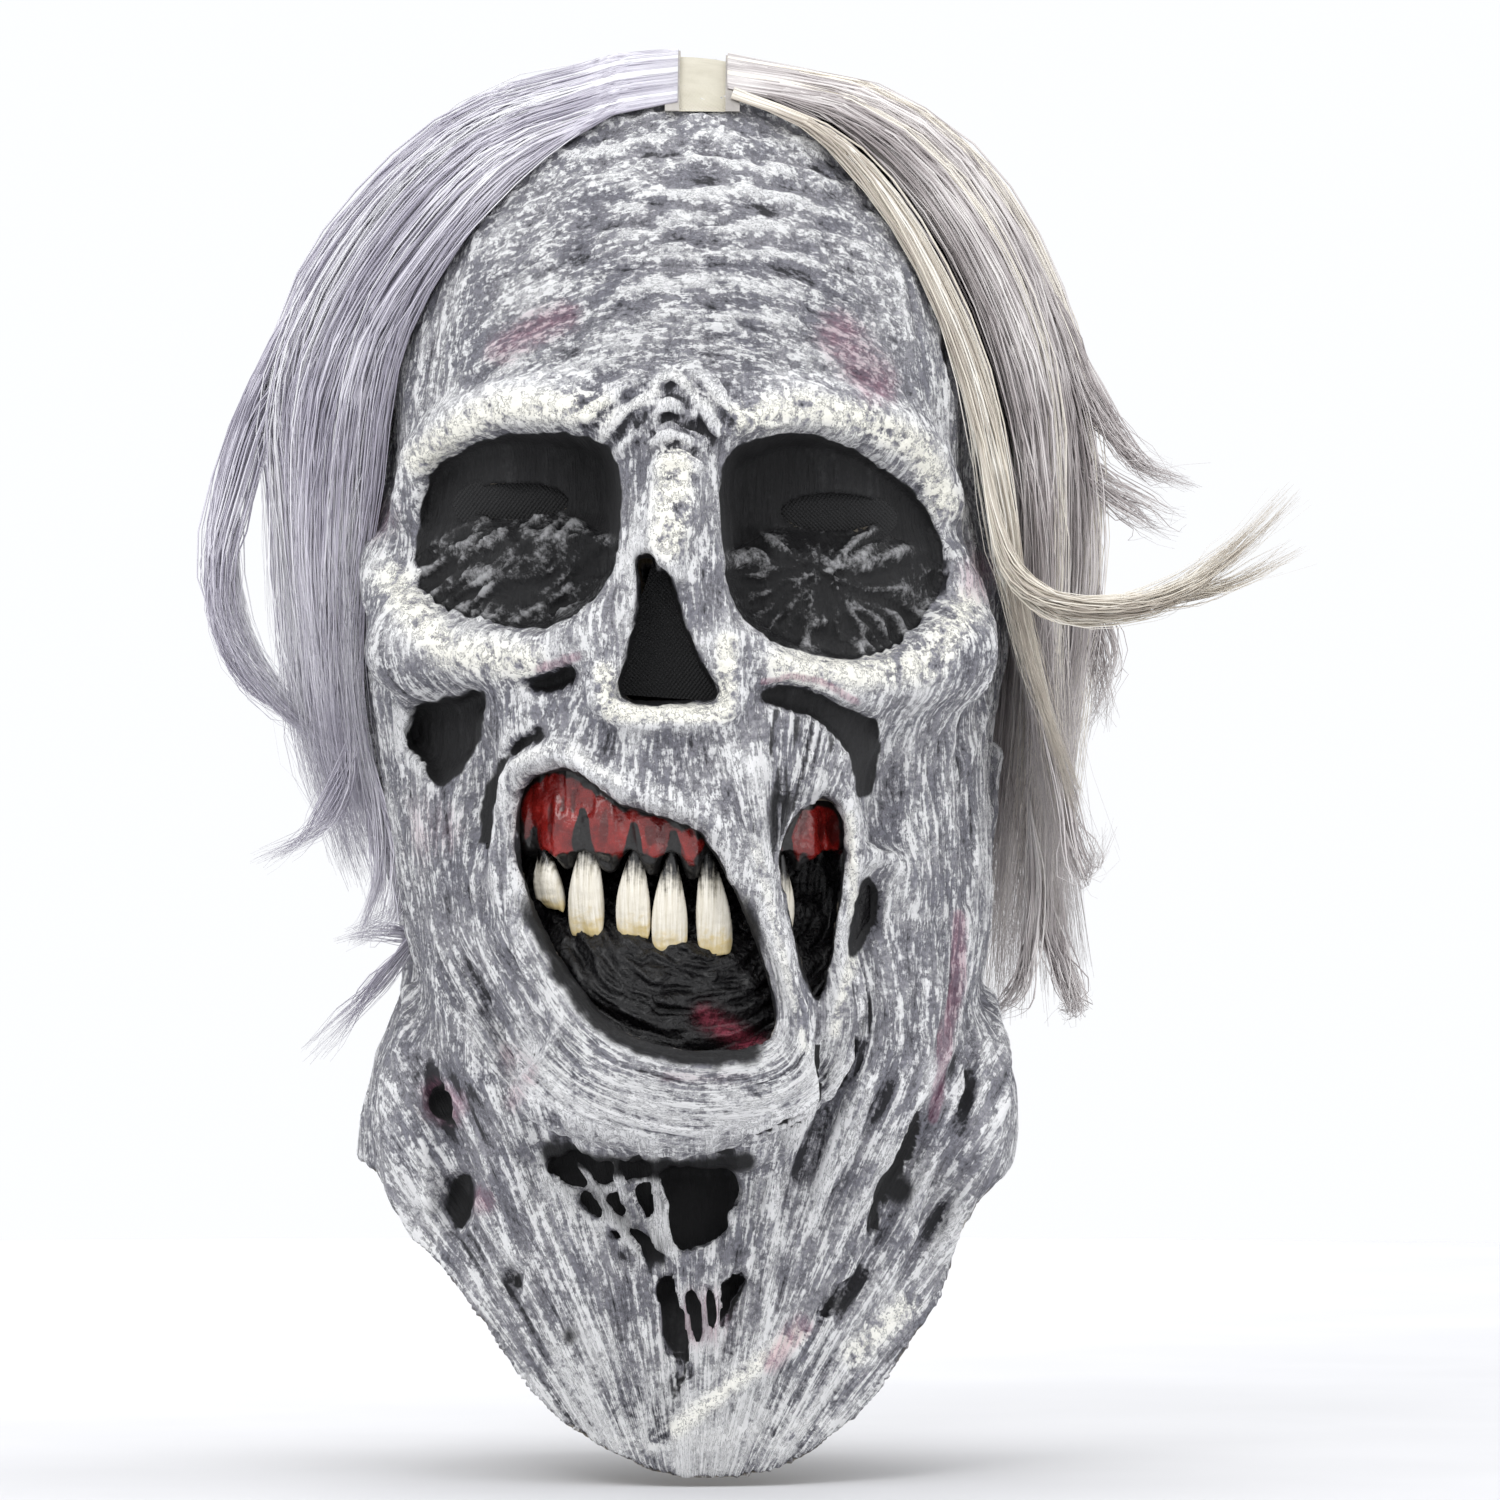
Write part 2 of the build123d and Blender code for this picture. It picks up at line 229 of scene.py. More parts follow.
def round_gap(place, radii):
    """About the distance from an ellipse or ellipsoid round the origin, negative inside."""
    share = np.sqrt(sum((v / r) ** 2 for v, r in zip(place, radii))) + TINY
    slope = np.sqrt(sum((v / r**2) ** 2 for v, r in zip(place, radii))) + TINY
    return share * (share - 1) / slope


def column_gap(x, y, width, front, back):
    """The same for a level slice with that half width, front and back."""
    return round_gap((x, y - (front + back) / 2), (width, (back - front) / 2))


def front_y(x, z):
    """Y of the plain head's front surface in the front view."""

    def face(width, front, back, high, low):
        inside = np.sqrt(np.clip(1 - (x / width) ** 2, 0.0, 1))
        y = (front + back) / 2 - (back - front) / 2 * inside
        return np.where((z <= high) & (z >= low), y, 60.0)

    skull = face(*skull_rows(np.clip(z, -168, 139)), 140, -168)
    neck = face(*head_rows(NECK_SECTIONS, z), -72, -400)
    return np.minimum(skull, neck).astype(np.float32)


# ---------------------------------------------------------------- sculpting in a distance field


def torn_edge(x, z):
    """How far a torn outline strays from its drawn line, for a tear of 1."""
    return 1.3 * fractal(x / 5.5, z / 5.5, 0.0, 61, 3)


class Clay:
    """A block of signed distances in millimetres, negative inside, to add blobs to and cut them from."""

    def __init__(self, low, high, voxel):
        self.voxel = voxel
        self.low = np.array(low, float)
        self.count = np.ceil((np.array(high) - self.low) / voxel).astype(int)
        self.axes = [self.low[i] + voxel * np.arange(self.count[i]) for i in range(3)]
        self.d = np.full(self.count, 1e3, np.float32)

    def block(self, low=None, high=None):
        """The part of the block between two corners: its index and its broadcast X, Y and Z."""
        cut = []
        for i in range(3):
            a, b = 0, self.count[i]
            if low is not None:
                a = int(np.clip((low[i] - self.low[i]) / self.voxel, 0, b - 1))
                b = int(np.clip((high[i] - self.low[i]) / self.voxel + 2, 1, b))
            cut.append(slice(a, max(b, a + 1)))
        shape = ((-1, 1, 1), (1, -1, 1), (1, 1, -1))
        return tuple(cut), [self.axes[i][cut[i]].reshape(shape[i]).astype(np.float32) for i in range(3)]

    def merge(self, cut, d, k):
        """Adds for k > 0, or takes away for k < 0, with a seam about that wide."""
        old = self.d[cut]
        self.d[cut] = smooth_min(old, d, k) if k > 0 else smooth_max(old, -d, -k)

    def blob(self, centre, radii, k, tilt=0.0):
        """An ellipsoid; tilt turns it in the front view, in degrees."""
        reach = max(radii) + abs(k) + 2
        cut, (x, y, z) = self.block([c - reach for c in centre], [c + reach for c in centre])
        x, y, z = x - centre[0], y - centre[1], z - centre[2]
        if tilt:
            c, s = math.cos(math.radians(tilt)), math.sin(math.radians(tilt))
            x, z = x * c + z * s, z * c - x * s
        self.merge(cut, round_gap((x, y, z), radii), k)

    def limb(self, points, k, steps=6):
        """A bent round limb through (x, y, z, radius) rows."""
        p = smooth_path(points, steps)
        reach = p[:, 3].max() + abs(k) + 2
        cut, (x, y, z) = self.block(p[:, :3].min(0) - reach, p[:, :3].max(0) + reach)
        d = np.full(self.d[cut].shape, 1e3, np.float32)
        for a, b in zip(p, p[1:]):
            ab = b[:3] - a[:3]
            dx, dy, dz = x - a[0], y - a[1], z - a[2]
            t = np.clip((dx * ab[0] + dy * ab[1] + dz * ab[2]) / (ab @ ab + 1e-9), 0, 1)
            gap = np.sqrt((dx - t * ab[0]) ** 2 + (dy - t * ab[1]) ** 2 + (dz - t * ab[2]) ** 2)
            d = np.minimum(d, gap - (a[3] + (b[3] - a[3]) * t))
        self.merge(cut, d, k)

    def pit(self, outline, depth, k, slope=0.2, torn=0.0):
        """Cuts a hollow with a front-view outline, torn that much, that narrows as it goes in.

        depth, in millimetres behind the plain head, may be a function of the front-view X and Z."""
        p = np.array(outline, float)
        reach = 9
        low = (p[:, 0].min() - reach, -135, p[:, 1].min() - reach)
        high = (p[:, 0].max() + reach, -20, p[:, 1].max() + reach)
        cut, (x, y, z) = self.block(low, high)
        side = (to_outline(outline, x[:, 0], z[0]) + torn * torn_edge(x[:, 0], z[0]))[:, None, :]
        into = y - front_y(x[:, 0], z[0])[:, None, :]
        floor = depth(x[:, 0], z[0])[:, None, :] if callable(depth) else depth
        d = np.maximum(side + slope * np.clip(into, 0, None), into - floor)
        self.merge(cut, d.astype(np.float32), -k)

    def front_map(self):
        """Y of the front-most surface so far, over the whole front view."""
        solid = self.d < 0
        return np.where(solid.any(axis=1), self.axes[1][np.argmax(solid, axis=1)], 0.0)

    def read_map(self, front_map, x, z):
        """A front map read at front-view places."""
        place = []
        for v, axis in ((x, 0), (z, 2)):
            step = np.round((np.asarray(v) - self.low[axis]) / self.voxel).astype(int)
            place.append(np.clip(step, 0, self.count[axis] - 1))
        return front_map[tuple(place)]

    def front(self, x, z):
        """Y of the front-most surface so far at one place."""
        return float(self.read_map(self.front_map(), x, z))

    def surface(self):
        """The mesh of the surface: points in millimetres and four-sided faces."""
        grid = openvdb.FloatGrid()
        grid.copyFromArray(np.clip(self.d, -4 * self.voxel, 4 * self.voxel))
        points, quads = grid.convertToQuads(0.0)
        return points * self.voxel + self.low, quads

    def read(self, field, points):
        """field read at points, between its grid places."""
        g = (points - self.low) / self.voxel
        i = np.clip(np.floor(g).astype(int), 0, self.count - 2)
        f = (g - i).astype(np.float32)
        total = 0
        for dx in (0, 1):
            for dy in (0, 1):
                for dz in (0, 1):
                    w = (
                        (f[:, 0] if dx else 1 - f[:, 0])
                        * (f[:, 1] if dy else 1 - f[:, 1])
                        * (f[:, 2] if dz else 1 - f[:, 2])
                    )
                    total = total + w * field[i[:, 0] + dx, i[:, 1] + dy, i[:, 2] + dz]
        return total


def make_mesh(name, points, *face_groups, material=None):
    """A smooth mesh object from millimetre points and arrays of faces, each of one size."""
    mesh = bpy.data.meshes.new(name)
    groups = [np.asarray(g, np.int32) for g in face_groups]
    corners = np.concatenate([g.ravel() for g in groups])
    sizes = np.concatenate([np.full(len(g), g.shape[1], np.int32) for g in groups])
    mesh.vertices.add(len(points))
    mesh.vertices.foreach_set("co", (np.asarray(points, np.float32) * MM).ravel())
    mesh.loops.add(len(corners))
    mesh.loops.foreach_set("vertex_index", corners)
    mesh.polygons.add(len(sizes))
    mesh.polygons.foreach_set("loop_start", np.concatenate([[0], np.cumsum(sizes)[:-1]]).astype(np.int32))
    mesh.polygons.foreach_set("use_smooth", np.ones(len(sizes), bool))
    mesh.update(calc_edges=True)
    mesh.validate()
    piece = bpy.data.objects.new(name, mesh)
    bpy.context.scene.collection.objects.link(piece)
    if material is not None:
        mesh.materials.append(material)
    return piece


def normals_of(piece):
    """The smooth normal of every point."""
    out = np.zeros(len(piece.data.vertices) * 3, np.float32)
    piece.data.vertex_normals.foreach_get("vector", out)
    return out.reshape(-1, 3)


def set_points(piece, points):
    """Moves a piece's points to new places in millimetres."""
    piece.data.vertices.foreach_set("co", (np.asarray(points, np.float32) * MM).ravel())
    piece.data.update()


def store(piece, name, values):
    """Keeps one number or one vector per vertex for the material to read."""
    values = np.asarray(values, np.float32)
    kind = "FLOAT" if values.ndim == 1 else "FLOAT_VECTOR"
    attribute = piece.data.attributes.new(name, kind, "POINT")
    attribute.data.foreach_set("value" if values.ndim == 1 else "vector", values.ravel())


def glue(piece, node):
    """The piece rides on the mask and stands for a CAD node, which it hides."""
    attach(piece, "mask")
    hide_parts(node)


# ---------------------------------------------------------------- the sculpted skin


def rounded(outline, steps=4):
    """A closed outline with its corners rounded off."""
    return smooth_path(outline, steps, closed=True)


# Front-view outlines of the openings and hollows.
SOCKET_LEFT = rounded(((-73, -4), (-70, 18), (-62, 26), (-44, 31), (-22, 29), (-15, 18), (-16, -4),
                       (-23, -17), (-38, -24), (-57, -21), (-69, -15)), 5)
SOCKET_RIGHT = rounded(((12, 20), (22, 29), (34, 31), (49, 27), (65, 16), (73, 5), (75, -9), (69, -21),
                        (56, -31), (39, -32), (24, -26), (14, -14)), 5)
NOSE_HOLE = rounded((
    (-12, -4), (-6, -3), (-5, -7), (-2, -8), (0, -14), (3, -23), (7, -33), (12, -43), (-2, -45), (-16, -43),
    (-13, -28), (-11, -14),
), 3)
MOUTH_HOLE = rounded((
    (-45, -77), (-42, -66), (-32, -62), (-24, -65), (-16, -71), (-4, -75), (6, -79), (14, -90), (20, -103),
    (26, -120),
    (28, -134), (22, -140), (2, -141), (-18, -134), (-32, -117), (-42, -98),
))
CHEEK_HOLE = rounded(((28, -90), (31, -78), (38, -71), (45, -73), (47, -84), (45, -102), (42, -122),
                      (38, -127), (33, -112)))
LEFT_CHEEK_PIT = ((-77, -54), (-73, -44), (-63, -42), (-53, -41), (-54, -52), (-60, -64), (-68, -67))
RIGHT_CHEEK_PIT = ((53, -91), (59, -98), (58, -113), (53, -127), (48, -119), (48, -100))
RIGHT_ARCH = (
    (22, -41), (29, -38.5), (38, -40), (48, -45), (56, -49), (57, -58), (55, -69), (50, -72), (48, -62),
    (42, -52), (34, -48), (26, -46),
)
LEFT_ARCH = ((-46, -38), (-36, -36.5), (-28, -33), (-26, -38), (-30, -41), (-40, -41))
LIP_SLIT = (
    (-36, -50), (-44, -54), (-51, -62), (-54.5, -72), (-55, -83), (-51.5, -83), (-51, -72), (-47.5, -64),
    (-42, -58), (-36, -54),
)
CHIN_PIT_LEFT = rounded(((-38, -173), (-22, -172), (-6, -174), (-4, -190), (0, -206), (-14, -200),
                         (-28, -189)))
CHIN_PIT_RIGHT = rounded(((-3, -176), (14, -175), (15, -188), (9, -197), (-2, -196)))
NECK_TEAR = rounded(((-5, -205), (8, -207), (22, -203), (21, -213), (13, -227), (3, -231), (-4, -222)))
VISION_SLOTS = ((-44.5, 12.0), (43.5, 9.0))


# Folds between the brows, and what drapes the neck: rows of X, Z and radius.
GLABELLA_FOLDS = (
    ((-25, 34, 1.8), (-18, 41, 2.6), (-10, 46, 2.2)),
    ((-21, 28, 1.8), (-14, 36, 2.6), (-7, 41, 2.2)),
    ((-18, 23, 1.6), (-12, 29, 2.4), (-6, 34, 2.0)),
    ((2, 51, 2.4), (9, 44, 2.6), (18, 33, 2.2)),
    ((1, 45, 1.8), (7, 38, 2.4), (12, 30, 2.0)),
    ((-6, 44, 2.2), (-1, 47, 3.0), (2, 44, 2.2)),
    ((-7, 35, 2.4), (-2, 38, 3.2), (4, 35, 2.6)),
    ((-7, 27, 2.4), (-1, 30, 3.4), (6, 27, 2.8)),
    ((-5, 20, 2.2), (0, 23, 3.0), (6, 20, 2.4)),
)
# Tendons that fan down to the corner of the mouth: X and Z of the top, X of the foot.
FAN_TENDONS = ((24, -45, 22), (29, -47, 24), (34, -49, 26), (39, -53, 28), (43, -58, 30), (46, -64, 33))
CHEEK_CORDS = (
    ((87, -46, 2), (76, -62, 2.8), (66, -80, 2.6), (63, -96, 2)),
    ((90, -58, 2), (82, -78, 2.8), (73, -98, 2.8), (70, -116, 2)),
    ((58, -56, 1.6), (63, -68, 2.4), (57, -84, 2)),
    ((79, -44, 1.8), (68, -56, 2.4), (61, -72, 1.8)),
    ((-76, -72, 2), (-72, -94, 2.8), (-66, -112, 2.4)),
    ((-59, -72, 1.8), (-56, -92, 2.6), (-49, -114, 2.6), (-38, -134, 2)),
    ((-84, -60, 2), (-81, -84, 2.8), (-74, -106, 2.4)),
)
NECK_CORDS = (
    ((62, -106, 2), (64, -128, 3.2), (53, -152, 3.4), (41, -178, 3.2), (29, -197, 3.2), (15, -218, 3.4),
     (1, -244, 3)),
    ((69, -104, 2), (71, -129, 3.2), (64, -152, 3.4), (55, -169, 3), (46, -188, 3), (34, -207, 3.4),
     (18, -230, 3.6)),
    ((81, -104, 2), (79, -122, 2.6), (75, -141, 2.6), (72, -161, 2.6), (69, -178, 2.6), (60, -200, 3.4),
     (44, -220, 4.2), (22, -230, 4.8), (2, -246, 4)),
    ((50, -129, 2.6), (44, -148, 2.8), (34, -161, 2.6), (27, -171, 2.4), (24, -188, 2.8), (16, -200, 3)),
    ((88, -128, 3), (91, -150, 3.6), (85, -172, 3.6), (79, -192, 3.2), (66, -214, 3)),
    ((-55, -124, 2), (-56, -145, 3.2), (-47, -171, 3.6), (-35, -197, 3.4), (-22, -218, 3.4),
     (-8, -238, 3.2)),
    ((-66, -112, 2), (-64, -129, 3.2), (-54, -161, 3.4), (-46, -188, 3.2), (-34, -211, 3.4),
     (-22, -234, 3)),
    ((-76, -126, 2.4), (-77, -145, 3.4), (-72, -169, 3.2), (-70, -186, 2.6)),
    ((-39, -174, 2), (-30, -190, 2.8), (-18, -202, 3), (-8, -210, 3), (-6, -224, 2.6)),
)
NECK_VALLEYS = (
    ((60, -132, 1.6), (60, -146, 2.4), (47, -171, 2.6), (33, -197, 1.8)),
    ((69, -158, 2.4), (67, -166, 4.6), (62, -177, 5.4), (56, -192, 3.6)),
    ((53, -128, 1.8), (49, -140, 2.8), (42, -161, 3.4), (37, -176, 2.6)),
    ((57, -203, 2.4), (50, -209, 4.2), (42, -216, 3)),
    ((83, -118, 1.2), (83, -142, 2), (79, -165, 2)),
    ((-59, -118, 1.4), (-48, -141, 2.4), (-45, -156, 2.6), (-38, -164, 2)),
    ((-62, -138, 1.2), (-51, -175, 2.2), (-39, -202, 2.2), (-31, -220, 3), (-27, -226, 1.6)),
    ((-70, -140, 1.4), (-64, -164, 2.2), (-57, -180, 1.6)),
    ((-37, -169, 2.4), (-20, -171, 3.2), (0, -171, 3.2), (14, -169, 2)),
    ((10, -226, 3.4), (0, -236, 3.8), (-5, -248, 2.6)),
    ((44, -132, 1.4), (36, -152, 2.2), (22, -166, 2)),
)
THROAT_STRANDS = (
    ((-36, -176, 1.2), (-28, -184, 2.0), (-16, -198, 1.6)),
    ((-27, -173, 1.4), (-20, -185, 1.6), (-7, -203, 1.4)),
    ((-17, -172, 1.2), (-14, -182, 2.2), (-4, -197, 1.4)),
    ((-34, -180, 1.0), (-20, -180, 1.6), (-8, -177, 1.2)),
    ((-26, -190, 1.0), (-16, -189, 1.5), (-5, -190, 1.4)),
    ((-6, -175, 1.4), (-4, -190, 2.0), (2, -203, 2.2)),
    ((13, -194, 2.0), (18, -198, 2.8), (26, -196, 2)),
    ((0, -204, 1.4), (3, -216, 1.2), (5, -229, 1.6)),
    ((6, -205, 1.8), (8, -217, 1.4), (7, -230, 1.6)),
    ((11, -206, 1.2), (12, -216, 1.0), (9, -229, 1.4)),
)
# X, Z, radii and tilt.
NECK_PITS = ((-66, -157, (4, 7, 4), 0), (-62, -185, (4.5, 9, 9), -10), (-46, -206, (3, 5, 5), 0))


def relief_limb(clay, rows, k):
    """A limb that follows the plain head: rows of X, Z, height over the surface, radius."""
    rows = smooth_path(rows, 4)
    y = front_y(rows[:, 0], rows[:, 1]) - rows[:, 2]
    clay.limb(np.column_stack([rows[:, 0], y, rows[:, 1], rows[:, 3]]), k, steps=1)


def lay_cord(clay, rows, k, sink=0.1, front_map=None):
    """A limb laid on the surface so far, or on an earlier map of it: rows of X, Z and radius.

    Its middle is sunk by that share of the radius."""
    rows = smooth_path(rows, 4)
    front_map = clay.front_map() if front_map is None else front_map
    y = clay.read_map(front_map, rows[:, 0], rows[:, 1])
    y = np.convolve(np.pad(y, 3, mode="edge"), np.ones(7) / 7, mode="valid")
    clay.limb(np.column_stack([rows[:, 0], y + sink * rows[:, 2], rows[:, 1], rows[:, 2]]), k, steps=1)


def relief_blob(clay, x, z, over, radii, k):
    """A blob whose middle is that far over the plain head."""
    clay.blob((x, float(front_y(np.float32(x), np.float32(z))) - over, z), radii, k)


def socket_depth(x, z, centre_z):
    """How deep an eye socket is: to the vision slot on top, and less over the lower lid."""
    surface = front_y(x, z)
    top = smooth_max(surface + 12, np.full_like(surface, -72), 5)
    low = smooth_max(surface + 8, np.full_like(surface, -84), 6)
    return low + (top - low) * smoothstep(centre_z - 3, centre_z + 7, z) - surface


def plain_head(clay):
    """The skull with its dome, and the neck."""
    x, y, z = clay.block()[1]
    low = column_gap(x, y, *skull_rows(np.minimum(z, DOME_CENTRE[2])))
    dome = round_gap([v - c for v, c in zip((x, y, z), DOME_CENTRE)], DOME_RADII)
    skull = smooth_max(np.where(z > DOME_CENTRE[2], dome, low), FACE_LOW_Z - z, 10)
    neck = smooth_max(column_gap(x, y, *head_rows(NECK_SECTIONS, z)), z - NECK_HIGH_Z, 10)
    clay.d = smooth_min(skull, neck, 14).astype(np.float32)


def add_bones(clay):
    """Brow, nose and cheekbones, the folds between the brows, sunken temples and cheeks."""
    relief_limb(clay, ((-74, 12, -4, 6), (-70, 25, -3, 7), (-60, 32, -2, 8), (-47, 37, -1, 8),
                       (-34, 38, -1, 8), (-22, 35, -1, 7)), 6)
    relief_limb(clay, ((18, 33, -1, 7), (34, 37, -1, 8), (51, 34, -1, 8), (66, 27, -3, 8),
                       (75, 13, -4, 6)), 6)
    relief_limb(clay, ((0, 26, 0, 6), (0, 16, 4, 7.5), (-1, 6, 7, 7.5), (-3, -3, 9, 5.5)), 6)
    relief_blob(clay, -2, -24, -8, (24, 14, 30), 10)
    rim = ((-9, 0), (-15, -8), (-17, -22), (-21, -42), (-13, -48), (-2, -49), (11, -48), (17, -42),
           (11, -28), (6, -14), (1, -4))
    relief_limb(clay, [(*p, 3, 3.8) for p in rim], 3)
    relief_limb(clay, ((-82, -4, -4, 8), (-78, -18, -3, 9), (-64, -28, -2, 9), (-44, -31, -1, 9),
                       (-29, -27, 0, 8), (-21, -17, 0, 6)), 6)
    relief_limb(clay, ((76, -6, -4, 7), (79, -20, -3, 9), (71, -33, -2, 9), (54, -38, -1, 8),
                       (38, -36, 0, 6), (27, -33, 1, 5.5),
                       (20, -24, 1, 6)), 6)
    for rows in GLABELLA_FOLDS:
        lay_cord(clay, rows, 0.6, -0.4)
    relief_blob(clay, -70, -30, -5, (18, 14, 13), 9)
    relief_blob(clay, 74, -31, -3, (15, 16, 13), 10)

    clay.blob((-96, -34, 30), (14, 26, 22), -12)
    clay.blob((97, -34, 26), (14, 26, 22), -12)
    relief_blob(clay, -64, -66, 4, (15, 11, 22), -10)
    relief_blob(clay, 64, -72, 4, (12, 9, 20), -10)


def add_mouth(clay):
    """Eye sockets, the open nose, lips, the torn openings and the strands between them."""
    for outline, centre_z in ((SOCKET_LEFT, 3), (SOCKET_RIGHT, -1)):
        clay.pit(outline, lambda x, z: socket_depth(x, z, centre_z), 5, 0.18)
    clay.pit(NOSE_HOLE, 14, 2, 0.05)
    relief_limb(clay, ((-3, 1, 11, 3.4), (-2, -4, 12, 3.2), (1, -9, 10, 2.4)), 1.5)
    relief_limb(clay, ((-49, -70, 0, 3.2), (-45, -62, 1, 3.8), (-33, -57, 1.5, 4), (-21, -65, 1.5, 3.8),
                       (-7, -70, 1.5, 3.6),
                       (6, -73, 1.5, 3.6), (17, -84, 1.5, 3.4), (21, -96, 1, 3)), 4)
    relief_limb(clay, ((-49, -70, 0, 3.2), (-48, -88, 0, 3.4), (-44, -107, 0, 3.6), (-34, -124, 0, 4),
                       (-19, -139, 0, 4.2),
                       (2, -146, 0, 4.2), (24, -145, 0, 4)), 4)
    relief_limb(clay, ((19, -60, 0, 3), (21, -74, 1.5, 3.2), (24, -92, 2, 3.2), (29, -114, 2, 3.2),
                       (34, -136, 1, 3.6), (32, -150, 0, 4)), 3)
    relief_limb(clay, ((30, -68, 1, 3), (41, -66, 1.5, 3), (49, -76, 2, 3), (50, -92, 2, 2.8),
                       (49, -110, 2, 2.8), (45, -128, 1, 3.4), (40, -144, 0, 4)), 3)
    relief_limb(clay, ((52, -86, 1, 2.4), (61, -91, 1.5, 2.6), (63, -110, 1.5, 2.6), (57, -128, 1, 3)), 3)
    clay.pit(MOUTH_HOLE, 9, 2.5, 0.1)
    clay.pit(CHEEK_HOLE, 8, 2, 0.1)
    clay.pit(rounded(LEFT_CHEEK_PIT), 21, 2.5, 0.1, torn=1.0)
    clay.pit(rounded(RIGHT_CHEEK_PIT), 12, 2.5, 0.2, torn=1.0)
    for outline in (RIGHT_ARCH, LEFT_ARCH, LIP_SLIT):
        clay.pit(rounded(outline), 7, 1.5, 0.25, torn=0.6)
    for x_top, z_top, x_low in FAN_TENDONS:
        middle = ((x_top + x_low) / 2 + 1.5, z_top * 0.5 - 36, 1.5)
        lay_cord(clay, ((x_top, z_top, 0.9), middle, (x_low, -84, 1.6)), 0.8, 0.2)
    for rows in CHEEK_CORDS:
        lay_cord(clay, rows, 2.0, 0.35)


def add_jaw(clay):
    """The chin and jaw, the cheeks that run down into the neck, the throat and the bib's shoulders."""
    relief_blob(clay, -3, -152, -8, (42, 18, 16), 16)
    relief_limb(clay, ((-52, -140, -4, 5), (-42, -156, -3, 6), (-24, -166, -3, 7), (-2, -169, -3, 7),
                       (20, -167, -3, 7),
                       (38, -156, -3, 6), (50, -140, -4, 5)), 9)
    clay.blob((-56, -8, -92), (21, 56, 46), 16)
    clay.blob((64, -8, -98), (25, 58, 52), 16)
    clay.blob((-46, -38, -142), (22, 30, 40), 16)
    clay.blob((50, -40, -142), (26, 34, 42), 16)
    clay.blob((2, -26, -198), (62, 48, 46), 16)
    clay.blob((-73, -12, -160), (14, 34, 30), 12)
    clay.blob((80, -14, -160), (16, 36, 28), 12)


def add_sinews(clay):
    """Hollows and sinews of the neck; returns the front map from before them.

    Where the neck goes in from that map, its paint is black."""
    whole_front = clay.front_map()
    for outline, depth in ((CHIN_PIT_LEFT, 7), (CHIN_PIT_RIGHT, 15), (NECK_TEAR, 9)):
        middle = outline.mean(0)
        over = float(front_y(*np.float32(middle))) - clay.front(*middle)
        clay.pit(outline, depth - over, 2, 0.25, torn=1.6)
    for rows in NECK_VALLEYS:
        lay_cord(clay, rows, -2.5)
    for rows in NECK_CORDS:
        lay_cord(clay, rows, 2.2)
    for rows in THROAT_STRANDS:
        lay_cord(clay, rows, 1.2, 1.1, whole_front)
    for x_pit, z_pit, radii, tilt in NECK_PITS:
        clay.blob((x_pit, clay.front(x_pit, z_pit), z_pit), radii, -3, tilt)
    return whole_front


def true_distance(points, quads, clay):
    """A fresh distance field of a closed mesh on clay's own grid."""
    band = SKIN_WALL / clay.voxel + 3
    grid = openvdb.FloatGrid.createLevelSetFromPolygons(
        ((points - clay.low) / clay.voxel).astype(np.float32), quads=quads.astype(np.uint32), halfWidth=band
    )
    field = np.full(clay.count, band, np.float32)
    grid.copyToArray(field)
    return field * clay.voxel


def prism_gap(clay, outline, back_y, grow):
    """The distance to a front-view outline pushed in from the front, on the part of the grid round it."""
    start_y, reach = -140, 4
    low_x, low_z = outline.min(0) - reach
    high_x, high_z = outline.max(0) + reach
    cut, (x, y, z) = clay.block((low_x, start_y, low_z), (high_x, back_y, high_z))
    side = to_outline(outline, x[:, 0], z[0])[:, None, :] - grow
    return cut, np.maximum(side, np.maximum(start_y + 2 - y, y - back_y + 2)).astype(np.float32)


def ellipse_outline(x, z, half_width, half_height):
    turn = np.linspace(0, 2 * math.pi, 28, endpoint=False)
    return np.column_stack([x + half_width * np.cos(turn), z + half_height * np.sin(turn)])


def hollow_out(clay):
    """Leaves the skin: one even wall under the sculpted surface, its openings and its hem."""
    points, quads = clay.surface()
    outside = true_distance(points, quads, clay)
    clay.d = np.maximum(outside, -(outside + SKIN_WALL))
    openings = [(MOUTH_HOLE, -55, -1.2), (CHEEK_HOLE, -50, -0.8), (NOSE_HOLE, -78, -1.4)]
    openings += [(ellipse_outline(x, z, 14.5, 5.0), -40, 0) for x, z in VISION_SLOTS]
    for outline, back_y, grow in openings:
        cut, gap = prism_gap(clay, outline, back_y, grow)
        clay.d[cut] = smooth_max(clay.d[cut], -gap, 1.0)
    x, y, z = clay.block()[1]
    ragged = 1.1 * fractal(x / 16, z / 16, 0.0, 5, 2)
    front_hem = np.interp(x.ravel(), *zip(*smooth_path(HEM_FRONT, 6)))[:, None, None]
    back_hem = np.interp(x.ravel(), *zip(*smooth_path(HEM_BACK, 6)))[:, None, None]
    blend = smoothstep(NECK_MIDDLE_Y - 20, NECK_MIDDLE_Y + 20, y)
    hem = front_hem + (back_hem - front_hem) * blend + ragged
    clay.d = smooth_max(clay.d, (hem - z).astype(np.float32), 1.2)
    return outside


# ---------------------------------------------------------------- folds, pores and paint of the skin


FOREHEAD_ROW_PITCH = 8.8
DEEPEST_CREASE = 1.1
HIGHEST_FOLD = 1.8
THIN_WRINKLES = 2.5


